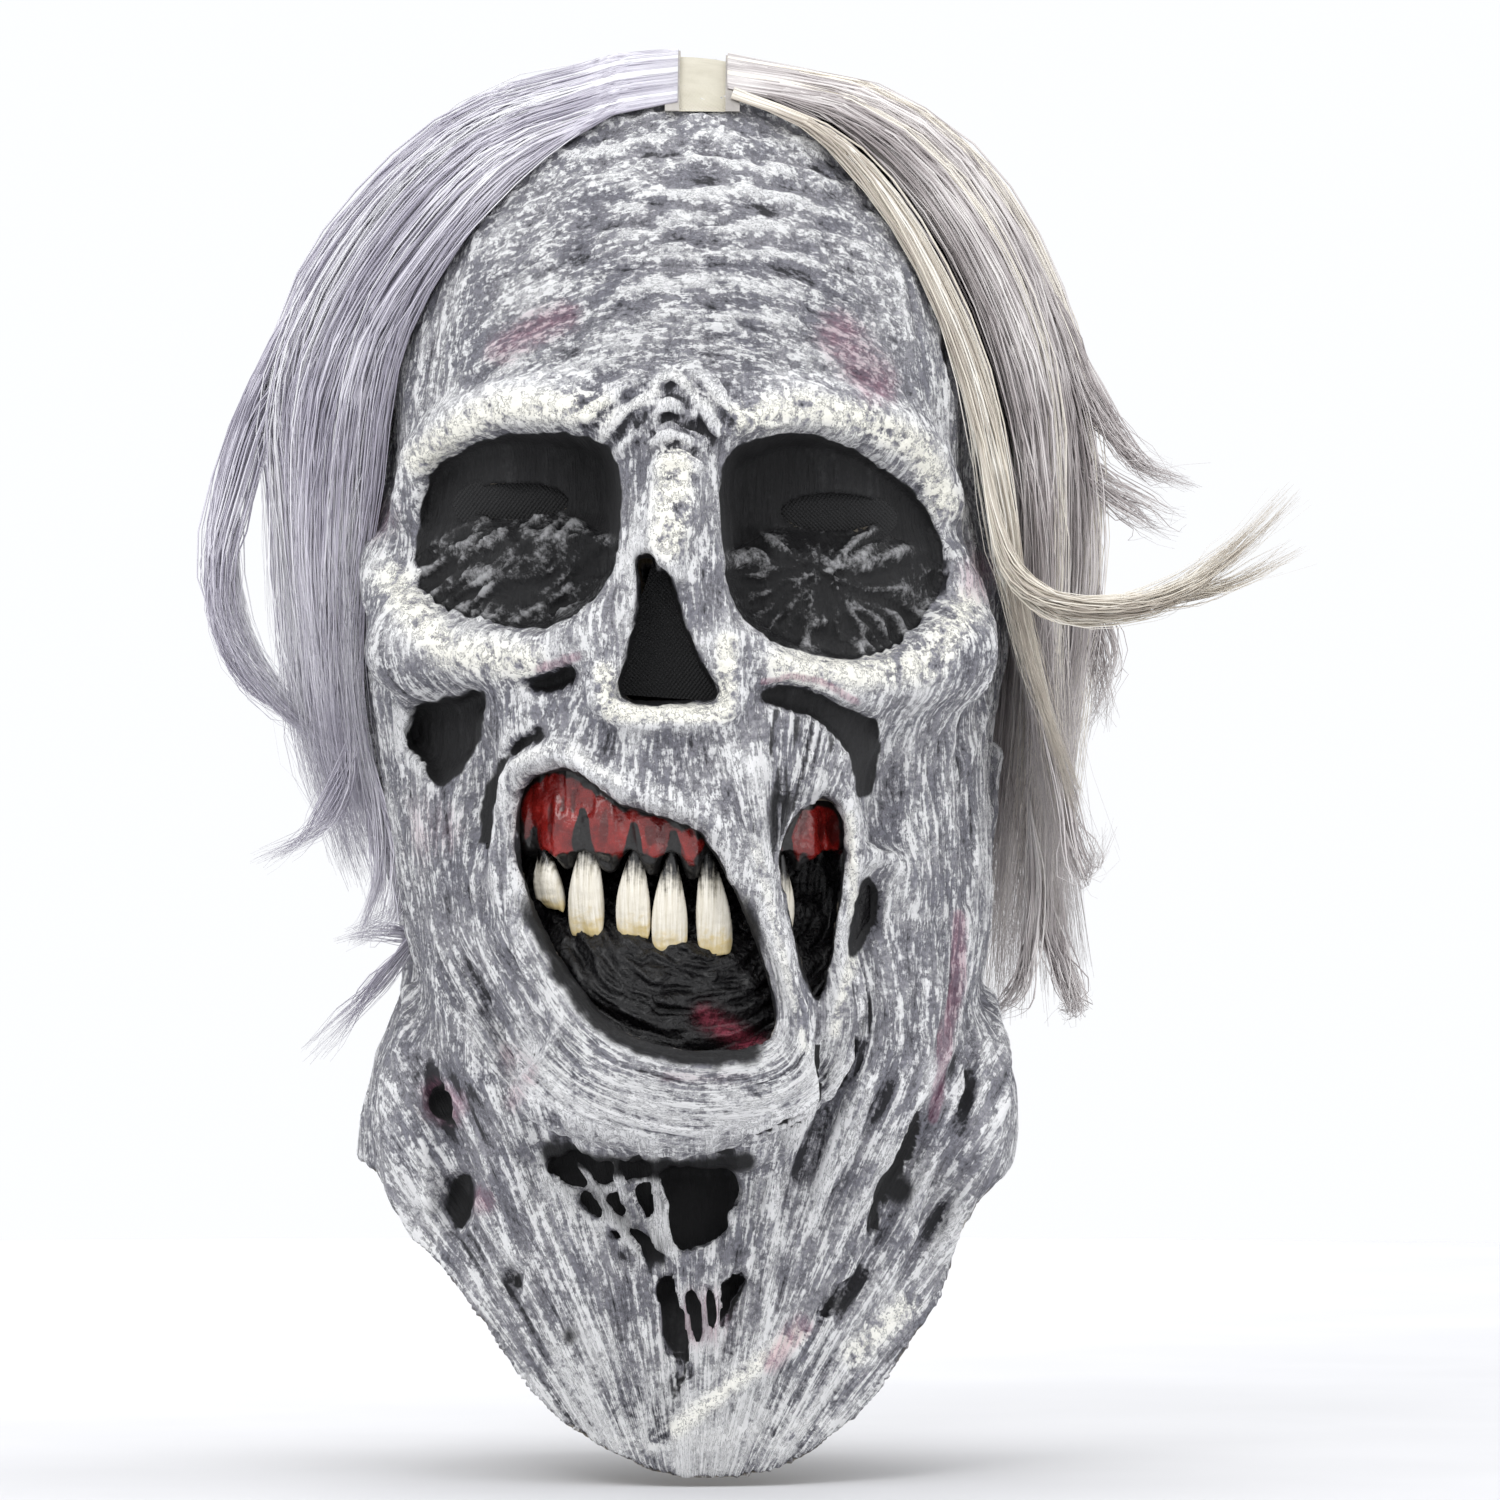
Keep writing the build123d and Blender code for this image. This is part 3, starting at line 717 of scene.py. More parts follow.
def streaks(across, along, wide, long, seed):
    """Crumpled lines that run one way: about -1 in a groove to 1 on a ridge.

    wide and long are their size."""
    across = across + 0.35 * wide * fractal(across / (wide * 2.5), along / (long * 0.8), 0.0, seed + 3, 2)
    soft = noise(across / wide, along / long, 0.0, seed)
    sharp = 1 - 2.4 * np.abs(noise(across / (wide * 0.62), along / (long * 0.7), 7.0, seed + 9))
    fine = noise(across / (wide * 0.36), along / (long * 0.45), 3.0, seed + 5)
    return 0.5 * soft + 0.4 * sharp + 0.3 * fine


def near(x, z, path, width):
    """1 on a front-view path or point, fading over width."""
    path = np.atleast_2d(np.array(path, float))
    if len(path) == 1:
        gap = np.hypot(x - path[0, 0], z - path[0, 1])
    else:
        gap = to_path(path, x, z)
    return np.exp(-((gap / width) ** 2))


def skin_flow(x, y, z, facing):
    """Each region of the skin: places across and along its wrinkles, its weight, their width and length."""
    turn = np.arctan2(x, -(y - DOME_CENTRE[1]))
    arc = turn * 92
    mouth_gap = to_outline(MOUTH_HOLE, x, z)
    front = smoothstep(0.1, 0.5, facing)
    forehead = smoothstep(36, 52, z + 0.0022 * x**2) * (1 - smoothstep(48, 74, np.abs(x - 3)))
    forehead = forehead * smoothstep(0.05, 0.3, facing)
    neck = smoothstep(-163, -173, z - 0.35 * np.abs(x)) * front
    rings = (1 - smoothstep(26, 42, mouth_gap)) * smoothstep(-98, -118, z) * (1 - neck) * front
    fan = near(x, z, ((34, -56), (32, -74)), 15) * front
    lip = near(x, z, ((-22, -50), (8, -60)), 15) * front * (1 - fan)
    rest = np.clip(1 - forehead - neck - rings - fan - lip, 0, 1)
    fields = {
        "forehead": (z + 0.0045 * (x - 3) ** 2, arc, forehead, 3.6, 13),
        "side": (arc, z, rest, 3.4, 24),
        "rings": (mouth_gap, 40 * np.arctan2(x + 6, -(z + 96)), 1.25 * rings, 2.9, 30),
        "fan": (34 * np.arctan2(x - 27, z + 104), np.hypot(x - 27, z + 104), 1.7 * fan, 2.4, 40),
        "lip": (70 * np.arctan2(x + 2, 24 - z), np.hypot(x + 2, z - 24), lip, 2.6, 20),
        "neck": (112 * np.arctan2(x - 4, z + 292), np.hypot(x - 4, z + 292), neck, 3.6, 42),
    }
    return fields, arc, mouth_gap


def spots(table, x, z):
    """The strongest of a table's patches at each front-view place."""
    return np.maximum.reduce([share * near(x, z, place, width) for place, width, share in table])


def skin_paint(x, y, z, facing, mouth_gap, pitted):
    """How black (with painted shade under the chin and under the nose), bruised, bony and pale the skin is
    painted, the gap to a socket, and the lower lids.
    """
    front = facing > -0.2
    into = y - front_y(x, z)
    tear = torn_edge(x, z)
    black = np.zeros_like(x)
    socket_gap = np.minimum(*[to_outline(o, x, z) for o in (SOCKET_LEFT, SOCKET_RIGHT)])
    for gap, shallow, deep in (
        (socket_gap, 1, 5),
        (mouth_gap, 1, 5),
        (to_outline(CHEEK_HOLE, x, z), 1, 5),
        (to_outline(NOSE_HOLE, x, z), 0, 5),
        (to_outline(LEFT_CHEEK_PIT, x, z), 1, 6),
        (to_outline(RIGHT_CHEEK_PIT, x, z), 1, 5),
        (to_outline(RIGHT_ARCH, x, z), 1, 4),
        (to_outline(LEFT_ARCH, x, z), 1, 4),
        (to_outline(LIP_SLIT, x, z), 1, 4),
    ):
        inside = smoothstep(1.5, -1.5, gap + 0.8 * tear) * smoothstep(shallow, deep, into)
        black = np.maximum(black, inside * front)
    sunk = smoothstep(2.2, 6.5, pitted) * (pitted < 18) * smoothstep(0.0, 0.3, facing)
    black = np.maximum(black, sunk * smoothstep(-118, -128, z))
    lower_lip = smoothstep(7.0, 0.5, mouth_gap + tear) * smoothstep(-86, -106, z) * smoothstep(30, 20, x)
    black = np.maximum(black, 0.8 * lower_lip * front)
    # Black paint in the listed patches, and painted shade under the chin and under the nose.
    black = np.maximum(black, spots(BLACK_PAINT_AND_SHADE, x, z) * front)
    bruise, bone, pale = (spots(table, x, z) * front for table in (BRUISED, BONY, PALE))
    lid = smoothstep(3, -1, z - np.where(x < 0, 8, 6) + 0.012 * (np.abs(x) - 42) ** 2)
    lid = lid * (socket_gap < 0.5) * (into > 1) * front
    return black, bruise, bone, pale, socket_gap, lid


# Front-view places (a point or a path), their width and their share.
BLACK_PAINT_AND_SHADE = (
    ((62, -181), 6, 0.9), ((45, -212), 6, 0.6), ((-62, -185), 5, 0.9), ((-66, -157), 4, 0.5),
    ((-30, -221), 4, 0.7),
    # Painted shade under the chin: the band just below it and the strands in the hollow beneath.
    (((-35, -170), (-18, -173.5), (2, -175), (19, -172)), 4.6, 0.85),
    (((-28, -180), (-16, -187), (-6, -196)), 8, 0.56),
    # On the next row, the last patch is painted shade under the rim of the nose.
    ((6, -218), 8, 0.5), ((54, -60), 5, 0.5), (((-20, -51), (10, -52)), 2.2, 0.3),
)
BRUISED = (
    (((-50, 54), (-31, 63)), 6, 0.9), (((45, 60), (56, 44)), 8, 0.9), ((-84, 8), 9, 0.7),
    ((86, -8), 10, 0.7),
    (((-38, -35.5), (-27, -31.5)), 1.5, 1.0), (((24, -39), (32, -37), (40, -38.5), (50, -44)), 1.1, 1.0),
    ((-68, -80), 15, 0.45), ((-47, -144), 6, 0.6),
    ((-66, -157), 8, 0.9), ((-55, -184), 5, 1.0), ((5, -216), 9, 1.1),
    (((79, -104), (79, -122), (75, -141), (72, -161)), 2.2, 1.3),
    (((35, -218), (27, -228)), 4, 0.9), (((-2, -147), (20, -148)), 3, 0.5),
    (((-40, -146), (-46, -156)), 4, 0.6),
)
BONY = (
    (((-72, 24), (-60, 33), (-47, 38), (-22, 37)), 7, 0.9),
    (((18, 34), (34, 38), (51, 35), (68, 27), (75, 12)), 7, 0.9),
    (((0, 22), (-2, 0)), 7, 1.0), (((-20, 30), (0, 46), (14, 36)), 6, 0.5),
    (((-20, -36), (-18, -47), (14, -47), (14, -28)), 4, 1.0),
    (((-80, -10), (-64, -30), (-42, -33)), 9, 0.8), (((80, -18), (70, -33), (48, -36), (30, -34)), 9, 0.8),
    (((-36, -150), (-4, -158), (34, -150)), 10, 0.35), (((-44, -60), (-32, -56), (-16, -66)), 4, 0.5),
    (((22, -84), (29, -112), (36, -140)), 3, 0.6), (((48, -76), (50, -110), (44, -136)), 3, 0.7),
    (((64, -214), (50, -226)), 7, 0.7),
    (((34, -220), (18, -232), (0, -246)), 5, 0.7), (((-16, -250), (40, -246)), 8, 0.4),
    (((-72, -170), (-70, -198)), 6, 0.4),
)
PALE = (
    (((-38, -148), (-24, -158), (-4, -162), (20, -158), (34, -148)), 11, 1.0),
    (((-26, -238), (0, -250), (40, -240)), 17, 0.9),
    ((-36, 42), 20, 0.4), ((10, 62), 24, 0.35), (((-78, -176), (-60, -204)), 9, 0.4),
    (((-14, -54), (2, -56)), 10, 0.3),
)


def crease_skin(skin, points, clay, outside, whole_front):
    """Moves the outer surface's points into folds and pores, and stores what the material needs."""
    points = points.astype(np.float32)
    normals = normals_of(skin)
    x, y, z = points.T
    facing = -normals[:, 1]
    depth = clay.read(outside, points)
    outer = smoothstep(-1.7, -0.6, depth)
    fields, arc, mouth_gap = skin_flow(x, y, z, facing)
    pitted = y - clay.read_map(whole_front, x, z)
    black, bruise, bone, pale, socket_gap, lid = skin_paint(x, y, z, facing, mouth_gap, pitted)

    relief = np.zeros_like(x)
    for i, (across, along, weight, wide, long) in enumerate(fields.values()):
        lines = weight * streaks(across, along, wide, long, 31 * i)
        relief += lines
        if wide < THIN_WRINKLES:
            black = np.maximum(black, 0.62 * smoothstep(-0.1, -0.75, lines) * (outer > 0.5))
    bend = 1.6 * fractal(arc / 26, z / 40, 0.0, 71, 2) + 1.5 * fractal(arc / 7, z / 9, 0.0, 73, 2)
    rows = np.cos(2 * math.pi * (z + 0.0035 * (x - 14) ** 2 + bend) / FOREHEAD_ROW_PITCH)
    in_rows = fields["forehead"][2] * (1 - smoothstep(30, 50, np.abs(x - 12)))
    in_rows = in_rows * smoothstep(56, 66, z) * (1 - smoothstep(114, 126, z))
    rows = rows * (0.75 + 0.45 * noise(arc / 12, z / 7, 0.0, 75))
    relief += 0.62 * in_rows * rows
    cords = streaks(fields["neck"][0], fields["neck"][1], 8.5, 60, 83)
    relief += 0.5 * fields["neck"][2] * cords
    pores = fractal(x / 2.6, y / 2.6, z / 2.6, 91, 2)
    bony = np.clip(bone * 1.2, 0, 1)
    pitting = smoothstep(0.25, 0.6, noise(x / 3.1, y / 3.1, z / 3.1, 97))
    relief = relief * (1 - 0.75 * bony) + bony * (0.7 * pores - 0.9 * pitting)
    fold_gap = np.minimum.reduce([to_path([row[:2] for row in rows], x, z) for rows in GLABELLA_FOLDS])
    fold_gap += 0.5 * noise(x / 2.6, z / 2.6, 0.0, 99)
    between_brows = near(x, z, ((-17, 33), (-4, 40), (0, 28), (12, 38)), 9) * (facing > 0.2)
    relief += between_brows * (0.9 - 2.5 * smoothstep(0.8, 2.6, fold_gap))
    star = streaks(15 * np.arctan2(z + 8, x - 39), np.hypot(x - 39, z + 8), 3.2, 13, 101)
    slanted = streaks(0.84 * z - 0.54 * x, 0.84 * x + 0.54 * z, 2.9, 12, 103)
    slanted += 0.5 * noise(x / 3.5, z / 3.5, 0.0, 107)
    lid_folds = np.where(x > 0, star, slanted) * smoothstep(0, 0.5, facing)
    relief = relief * (1 - lid) + 1.3 * lid * lid_folds
    height = 0.9 * relief * (1 + 0.4 * lid) * (1 - 0.5 * bony)
    height *= 1 - 0.6 * black * (1 - lid)
    move = np.clip(height * RELIEF_SCALE, -DEEPEST_CREASE, HIGHEST_FOLD) * outer
    set_points(skin, points + normals * move[:, None])

    cavity = np.zeros_like(x)
    for reach in (2.5, 5.0):
        cavity += 0.5 * np.clip(1 - clay.read(outside, points + normals * reach) / reach, 0, 1.5)
        cavity -= 0.5 * np.clip(1 + clay.read(outside, points - normals * reach) / reach, 0, 1.0)
    shown = np.maximum(outer, (black > 0.4) | ((socket_gap < 0) & (facing > -0.3)))
    black = np.maximum(black, (socket_gap < -1) & (facing > -0.3))
    store(skin, "paint", np.column_stack([black, bruise, bone]))
    store(skin, "form", np.column_stack([relief * outer, cavity, shown]))
    store(skin, "wet", np.column_stack([lid, in_rows * rows, pale]))
    for name, (across, along, weight, _, _) in fields.items():
        store(skin, "flow_" + name, np.column_stack([across, along, weight]))


# ---------------------------------------------------------------- materials


def paint(red, green, blue):
    """A screen colour of 0 to 255 as the shader's linear colour."""
    return tuple((v / 255) ** 2.2 for v in (red, green, blue)) + (1.0,)


class Finish:
    """Builds one material's nodes; each call returns the socket it makes."""

    def __init__(self, name):
        self.material = bpy.data.materials.new(name)
        self.material.use_nodes = True
        self.tree = self.material.node_tree
        self.tree.nodes.clear()
        self.shader = self.tree.nodes.new("ShaderNodeBsdfPrincipled")
        output = self.tree.nodes.new("ShaderNodeOutputMaterial")
        self.tree.links.new(self.shader.outputs[0], output.inputs[0])

    def put(self, socket, value):
        if isinstance(value, bpy.types.NodeSocket):
            self.tree.links.new(value, socket)
        else:
            socket.default_value = value

    def add(self, kind, inputs, out=0, **settings):
        node = self.tree.nodes.new(kind)
        for key, value in settings.items():
            setattr(node, key, value)
        for key, value in inputs.items():
            self.put(node.inputs[key], value)
        return node.outputs[out]

    def maths(self, operation, *values):
        return self.add("ShaderNodeMath", dict(enumerate(values)), operation=operation)

    def sum(self, a, b):
        return self.maths("ADD", a, b)

    def times(self, a, b):
        return self.maths("MULTIPLY", a, b)

    def weigh(self, first, *others):
        """The sum of (value, weight) pairs."""
        total = self.times(*first)
        for pair in others:
            total = self.sum(total, self.times(*pair))
        return total

    def ramp(self, value, low, high, bottom=0.0, top=1.0):
        inputs = {"Value": value, "From Min": low, "From Max": high, "To Min": bottom, "To Max": top}
        return self.add("ShaderNodeMapRange", inputs, interpolation_type="SMOOTHSTEP")

    def mix(self, share, a, b):
        return self.add("ShaderNodeMix", {0: share, 6: a, 7: b}, out=2, data_type="RGBA")

    def stored(self, name):
        """The three numbers of a stored attribute."""
        return self.split(self.add("ShaderNodeAttribute", {}, out="Vector", attribute_name=name))

    def split(self, vector):
        node = self.tree.nodes.new("ShaderNodeSeparateXYZ")
        self.put(node.inputs[0], vector)
        return tuple(node.outputs)

    def at(self, a, b, c):
        return self.add("ShaderNodeCombineXYZ", {0: a, 1: b, 2: c})

    def place(self):
        """The surface's own place, in metres."""
        return self.add("ShaderNodeTexCoord", {}, out="Object")

    def noise(self, where, scale, detail=3.0, rough=0.55):
        inputs = {"Vector": where, "Scale": scale, "Detail": detail, "Roughness": rough}
        return self.add("ShaderNodeTexNoise", inputs)

    def ripple(self, where, scale, detail=3.0, rough=0.55):
        """Noise from about -0.5 to 0.5."""
        return self.sum(self.noise(where, scale, detail, rough), -0.5)

    def bump(self, height, distance):
        inputs = {"Height": height, "Distance": distance, "Strength": 1.0}
        self.put(self.shader.inputs["Normal"], self.add("ShaderNodeBump", inputs, out="Normal"))

    def set(self, **values):
        """Values of the shader's own sockets, named with _ for a space."""
        for key, value in values.items():
            self.put(self.shader.inputs[key.replace("_", " ")], value)


# The width and length, in millimetres, of the brush's finest lines in each region.
FLOWS = (("forehead", 1.2, 4.0), ("side", 1.0, 7.5), ("rings", 1.1, 9), ("fan", 1.0, 16), ("lip", 1.0, 7),
         ("neck", 1.2, 14))


def skin_finish():
    """Grey latex, washed black in the grooves and dry-brushed white over the ridges."""
    f = Finish("painted_latex")
    relief, cavity, shown = f.stored("form")
    black, bruise, bone = f.stored("paint")
    lid, rows, pale = f.stored("wet")
    place = f.place()
    strands = []
    for i, (name, wide, long) in enumerate(FLOWS):
        across, along, weight = f.stored("flow_" + name)
        where = f.at(f.times(across, 1 / wide), f.times(along, 1 / long), 3.7 * i)
        strands.append((f.ripple(where, 1.0, 5.0, 0.72), weight))
    fine = f.weigh(*strands)
    grain = f.ripple(place, 620.0, 5.0, 0.75)
    crumple = f.ripple(place, 300.0, 4.0, 0.65)
    patch = f.ripple(place, 60.0, 3.0, 0.5)
    lines = f.weigh((fine, f.ramp(bone, 0.2, 0.8, 2.6, 0.8)), (crumple, f.ramp(bone, 0.2, 0.8, 0.9, 2.4)))
    brushed = f.weigh((lines, 1.0), (relief, 0.26), (grain, 1.5), (patch, 0.7), (bone, 0.36),
                      (cavity, -0.7), (rows, 0.24), (pale, 0.3))
    grey = f.mix(f.ramp(patch, -0.2, 0.2), paint(138, 138, 147), paint(168, 167, 173))
    grey = f.mix(f.ramp(grain, -0.14, 0.1), f.mix(0.5, grey, paint(84, 84, 90)), grey)
    white = f.mix(f.ramp(bone, 0.3, 0.9), paint(244, 244, 245), paint(248, 246, 235))
    colour = f.mix(f.ramp(brushed, -0.2, 0.34), grey, white)
    crack = f.maths("ABSOLUTE", f.sum(lines, f.times(grain, 0.4)))
    colour = f.mix(f.ramp(crack, 0.0, 0.075, 0.8, 0.0), colour, paint(74, 74, 80))
    groove = f.weigh((relief, -0.42), (lines, -1.0), (cavity, 1.3), (grain, -1.0), (bone, -0.15))
    colour = f.mix(f.ramp(groove, 0.44, 0.95, 0.0, 0.92), colour, paint(42, 42, 45))
    stain = f.ramp(f.weigh((bruise, 1.0), (patch, 0.9), (fine, 0.8)), 0.25, 0.95)
    flesh = f.mix(f.ramp(fine, -0.1, 0.15), paint(112, 66, 92), paint(196, 142, 160))
    colour = f.mix(f.times(stain, 0.5), colour, flesh)
    glossy = f.ramp(f.sum(black, f.times(fine, 0.5)), 0.35, 0.75)
    brush = f.weigh((relief, 0.42), (grain, 1.8))
    ridge = f.times(f.ramp(brush, -0.05, 0.75), f.ramp(lid, 0.0, 1.0, 0.04, 0.85))
    colour = f.mix(glossy, colour, f.mix(ridge, paint(46, 46, 47), paint(190, 190, 192)))
    bare = f.mix(f.ramp(patch, -0.15, 0.15), paint(150, 140, 124), paint(172, 162, 144))
    colour = f.mix(shown, bare, colour)
    wet = f.times(glossy, f.ramp(lid, 0.0, 1.0, 0.25, 1.0))
    f.set(Base_Color=colour, Roughness=f.ramp(wet, 0.0, 1.0, 0.68, 0.2), Specular_IOR_Level=0.3)
    f.bump(f.sum(lines, f.times(grain, 0.5)), 0.0007)
    return f.material


def make_skin():
    clay = Clay((-108, -138, -268), (110, 132, 148), VOXEL)
    plain_head(clay)
    add_bones(clay)
    add_mouth(clay)
    add_jaw(clay)
    whole_front = add_sinews(clay)
    outside = hollow_out(clay)
    points, quads = clay.surface()
    skin = make_mesh("latex_skin_sculpt", points, quads)
    crease_skin(skin, points, clay, outside, whole_front)
    skin.data.materials.append(skin_finish())
    glue(skin, "latex_skin")


make_skin()


# ---------------------------------------------------------------- teeth, gum and mouth lining

GUM_AXIS_Y = -38.0
TOOTH_RADIUS = 56.4
# Each tooth: X, height of the root's tip, height of the biting edge, half width, lean, chipped corner.
TEETH = (
    (-39.8, -83.0, -102.0, 5.0, -0.14, 4.0),
    (-26.0, -78.0, -109.0, 5.4, 0.03, 0.0),
    (-11.6, -82.0, -109.5, 4.9, 0.04, 0.6),
    (-0.8, -84.0, -113.5, 5.0, 0.05, 0.0),
    (9.4, -83.0, -114.0, 5.0, -0.06, 0.8),
    (31.0, -86.0, -111.0, 4.0, 0.02, 0.0),
)
TOOTH_WIDTHS = ((0, 0.18), (0.1, 0.3), (0.25, 0.52), (0.42, 0.76), (0.62, 0.96), (0.8, 1.0), (0.93, 0.94),
                (1, 0.82))
TOOTH_DEPTHS = ((0, 0.9), (0.2, 1.6), (0.45, 2.4), (0.7, 2.7), (0.86, 2.2), (0.95, 1.4), (1, 0.7))


def tube_faces(count, rings, sides):
    """Four-sided faces round count tubes, and the caps over both ends of each."""
    ring = np.arange(sides)
    one = np.array([(r * sides + a, r * sides + b, (r + 1) * sides + b, (r + 1) * sides + a)
                    for r in range(rings - 1) for a, b in zip(ring, np.roll(ring, -1))])
    starts = np.arange(count)[:, None] * rings * sides
    walls = (starts[:, :, None] + one[None]).reshape(-1, 4)
    low = starts + ring[None, ::-1]
    high = starts + (rings - 1) * sides + ring[None]
    return [walls, low, high]


def signed_power(v, power):
    return np.sign(v) * np.abs(v) ** power


def make_tooth(material, number, x, root, edge, half_width, lean, chip):
    """A flattened, long-rooted tooth with a grooved front, a stained edge and worn corners."""
    rings, sides = 46, 40
    share = np.linspace(0, 1, rings) ** 0.9
    turn = np.linspace(0, 2 * math.pi, sides, endpoint=False)
    width = half_width * spline_rows(TOOTH_WIDTHS, share)[:, 0]
    depth = spline_rows(TOOTH_DEPTHS, share)[:, 0]
    across = signed_power(np.cos(turn), 0.8)
    outward = signed_power(np.sin(turn), 0.9)
    a = width[:, None] * across
    b = depth[:, None] * outward
    front = smoothstep(0.1, 0.9, outward)[None]
    grooves = 0.22 * noise(a / 1.5, share[:, None] * 2 + 0 * a, number * 5.0, 200)
    ripples = 0.1 * noise(a / 3, share[:, None] * 22 + 0 * a, number * 5.0, 210)
    b = b + front * (grooves + ripples) * smoothstep(0.05, 0.3, share)[:, None]
    height = root + (edge - root) * share[:, None] + 0 * a
    worn = 0.45 * noise(a / 2.4, 0.0, number * 3.0, 220) + chip * smoothstep(0.15, 1.0, -across)[None]
    height += worn * smoothstep(0.82, 1.0, share)[:, None]
    a = a + lean * (height - root) + 0.5 * np.sin(share * 3.0 + number)[:, None]
    arc = math.asin(x / (TOOTH_RADIUS + 3.6))
    radius = TOOTH_RADIUS + b - 1.6 * smoothstep(0.4, 1.0, share)[:, None]
    px = radius * math.sin(arc) + a * math.cos(arc)
    py = GUM_AXIS_Y - radius * math.cos(arc) + a * math.sin(arc)
    points = np.stack([px, py, height], axis=-1).reshape(-1, 3)
    piece = make_mesh(f"tooth_{number}_enamel", points, *tube_faces(1, rings, sides), material=material)
    sizes = np.stack([share[:, None] + 0 * a, outward[None] + 0 * a, a / half_width], axis=-1)
    store(piece, "enamel", sizes.reshape(-1, 3))
    glue(piece, f"tooth_{number}")


def tooth_finish():
    """Ivory enamel: black at the root, cracked along, and yellow-brown at the biting edge."""
    f = Finish("stained_enamel")
    share, outward, across = f.stored("enamel")
    place = f.place()
    grime = f.noise(place, 420.0, 4.0, 0.65)
    lines = f.noise(f.at(f.times(across, 6.0), f.times(share, 1.6), 0.0), 1.0, 4.0, 0.6)
    edge = f.ramp(f.sum(f.weigh((share, 1.0), (grime, 0.5)), -0.25), 0.74, 1.0)
    colour = f.mix(f.ramp(lines, 0.3, 0.7), paint(206, 198, 178), paint(243, 238, 226))
    colour = f.mix(f.times(edge, 0.85), colour, paint(206, 182, 118))
    root = f.sum(f.weigh((share, 1.0), (lines, 0.55), (grime, 0.3)), -0.425)
    colour = f.mix(f.ramp(root, 0.48, 0.2), colour, paint(14, 13, 13))
    speck = f.ramp(f.sum(grime, f.times(lines, 0.4)), 0.92, 1.0, 0.0, 0.7)
    colour = f.mix(speck, colour, paint(120, 92, 58))
    colour = f.mix(f.ramp(outward, 0.1, -0.3, 0.0, 0.6), colour, paint(96, 84, 66))
    f.set(Base_Color=colour, Roughness=f.ramp(grime, 0.3, 0.7, 0.22, 0.4))
    f.set(Coat_Weight=0.35, Coat_Roughness=0.12)
    f.bump(f.sum(f.times(lines, 0.6), grime), 0.0003)
    return f.material


def gum_finish():
    """Wet red paint that turns black between and below the lobes, with painted shade in its crevices and
    along the edge of the lip.
    """
    f = Finish("wet_gum")
    dark = f.stored("tissue")[0]
    place = f.place()
    mottle = f.noise(place, 130.0, 4.0, 0.6)
    veins = f.noise(place, 520.0, 3.0, 0.6)
    colour = f.mix(f.ramp(mottle, 0.3, 0.68), paint(88, 20, 20), paint(146, 38, 34))
    colour = f.mix(f.ramp(veins, 0.62, 0.75, 0.0, 0.5), colour, paint(196, 96, 90))
    # The stored tissue's black paint and painted shade, broken up by the mottle.
    shade = f.ramp(f.sum(dark, f.times(f.sum(mottle, -0.5), 0.7)), 0.3, 0.7)
    colour = f.mix(shade, colour, paint(12, 9, 9))
    rough = f.sum(f.ramp(veins, 0.3, 0.7, 0.16, 0.34), f.times(shade, 0.3))
    f.set(Base_Color=colour, Roughness=rough, Coat_Weight=0.5, Coat_Roughness=0.08)
    f.bump(f.sum(mottle, f.times(veins, 0.4)), 0.0009)
    return f.material


# Swollen lobes between the roots: X, height of the lowest point, radius.
GUM_LOBES = ((-43, -86, 3.4), (-32.5, -88, 4.4), (-20, -89, 4.6), (-7, -90, 4.0), (4.5, -91, 4.4),
             (15, -89, 3.6), (26, -90, 4), (36, -89, 4))


# The ridge is an arc of a ring: its radius and height in the middle, and half its wall, height and angle.
GUM_RADIUS = 55.8
GUM_MIDDLE_Z = -71
GUM_HALF_WALL = 4.2
GUM_HALF_HEIGHT = 14
GUM_HALF_ANGLE = math.radians(50)


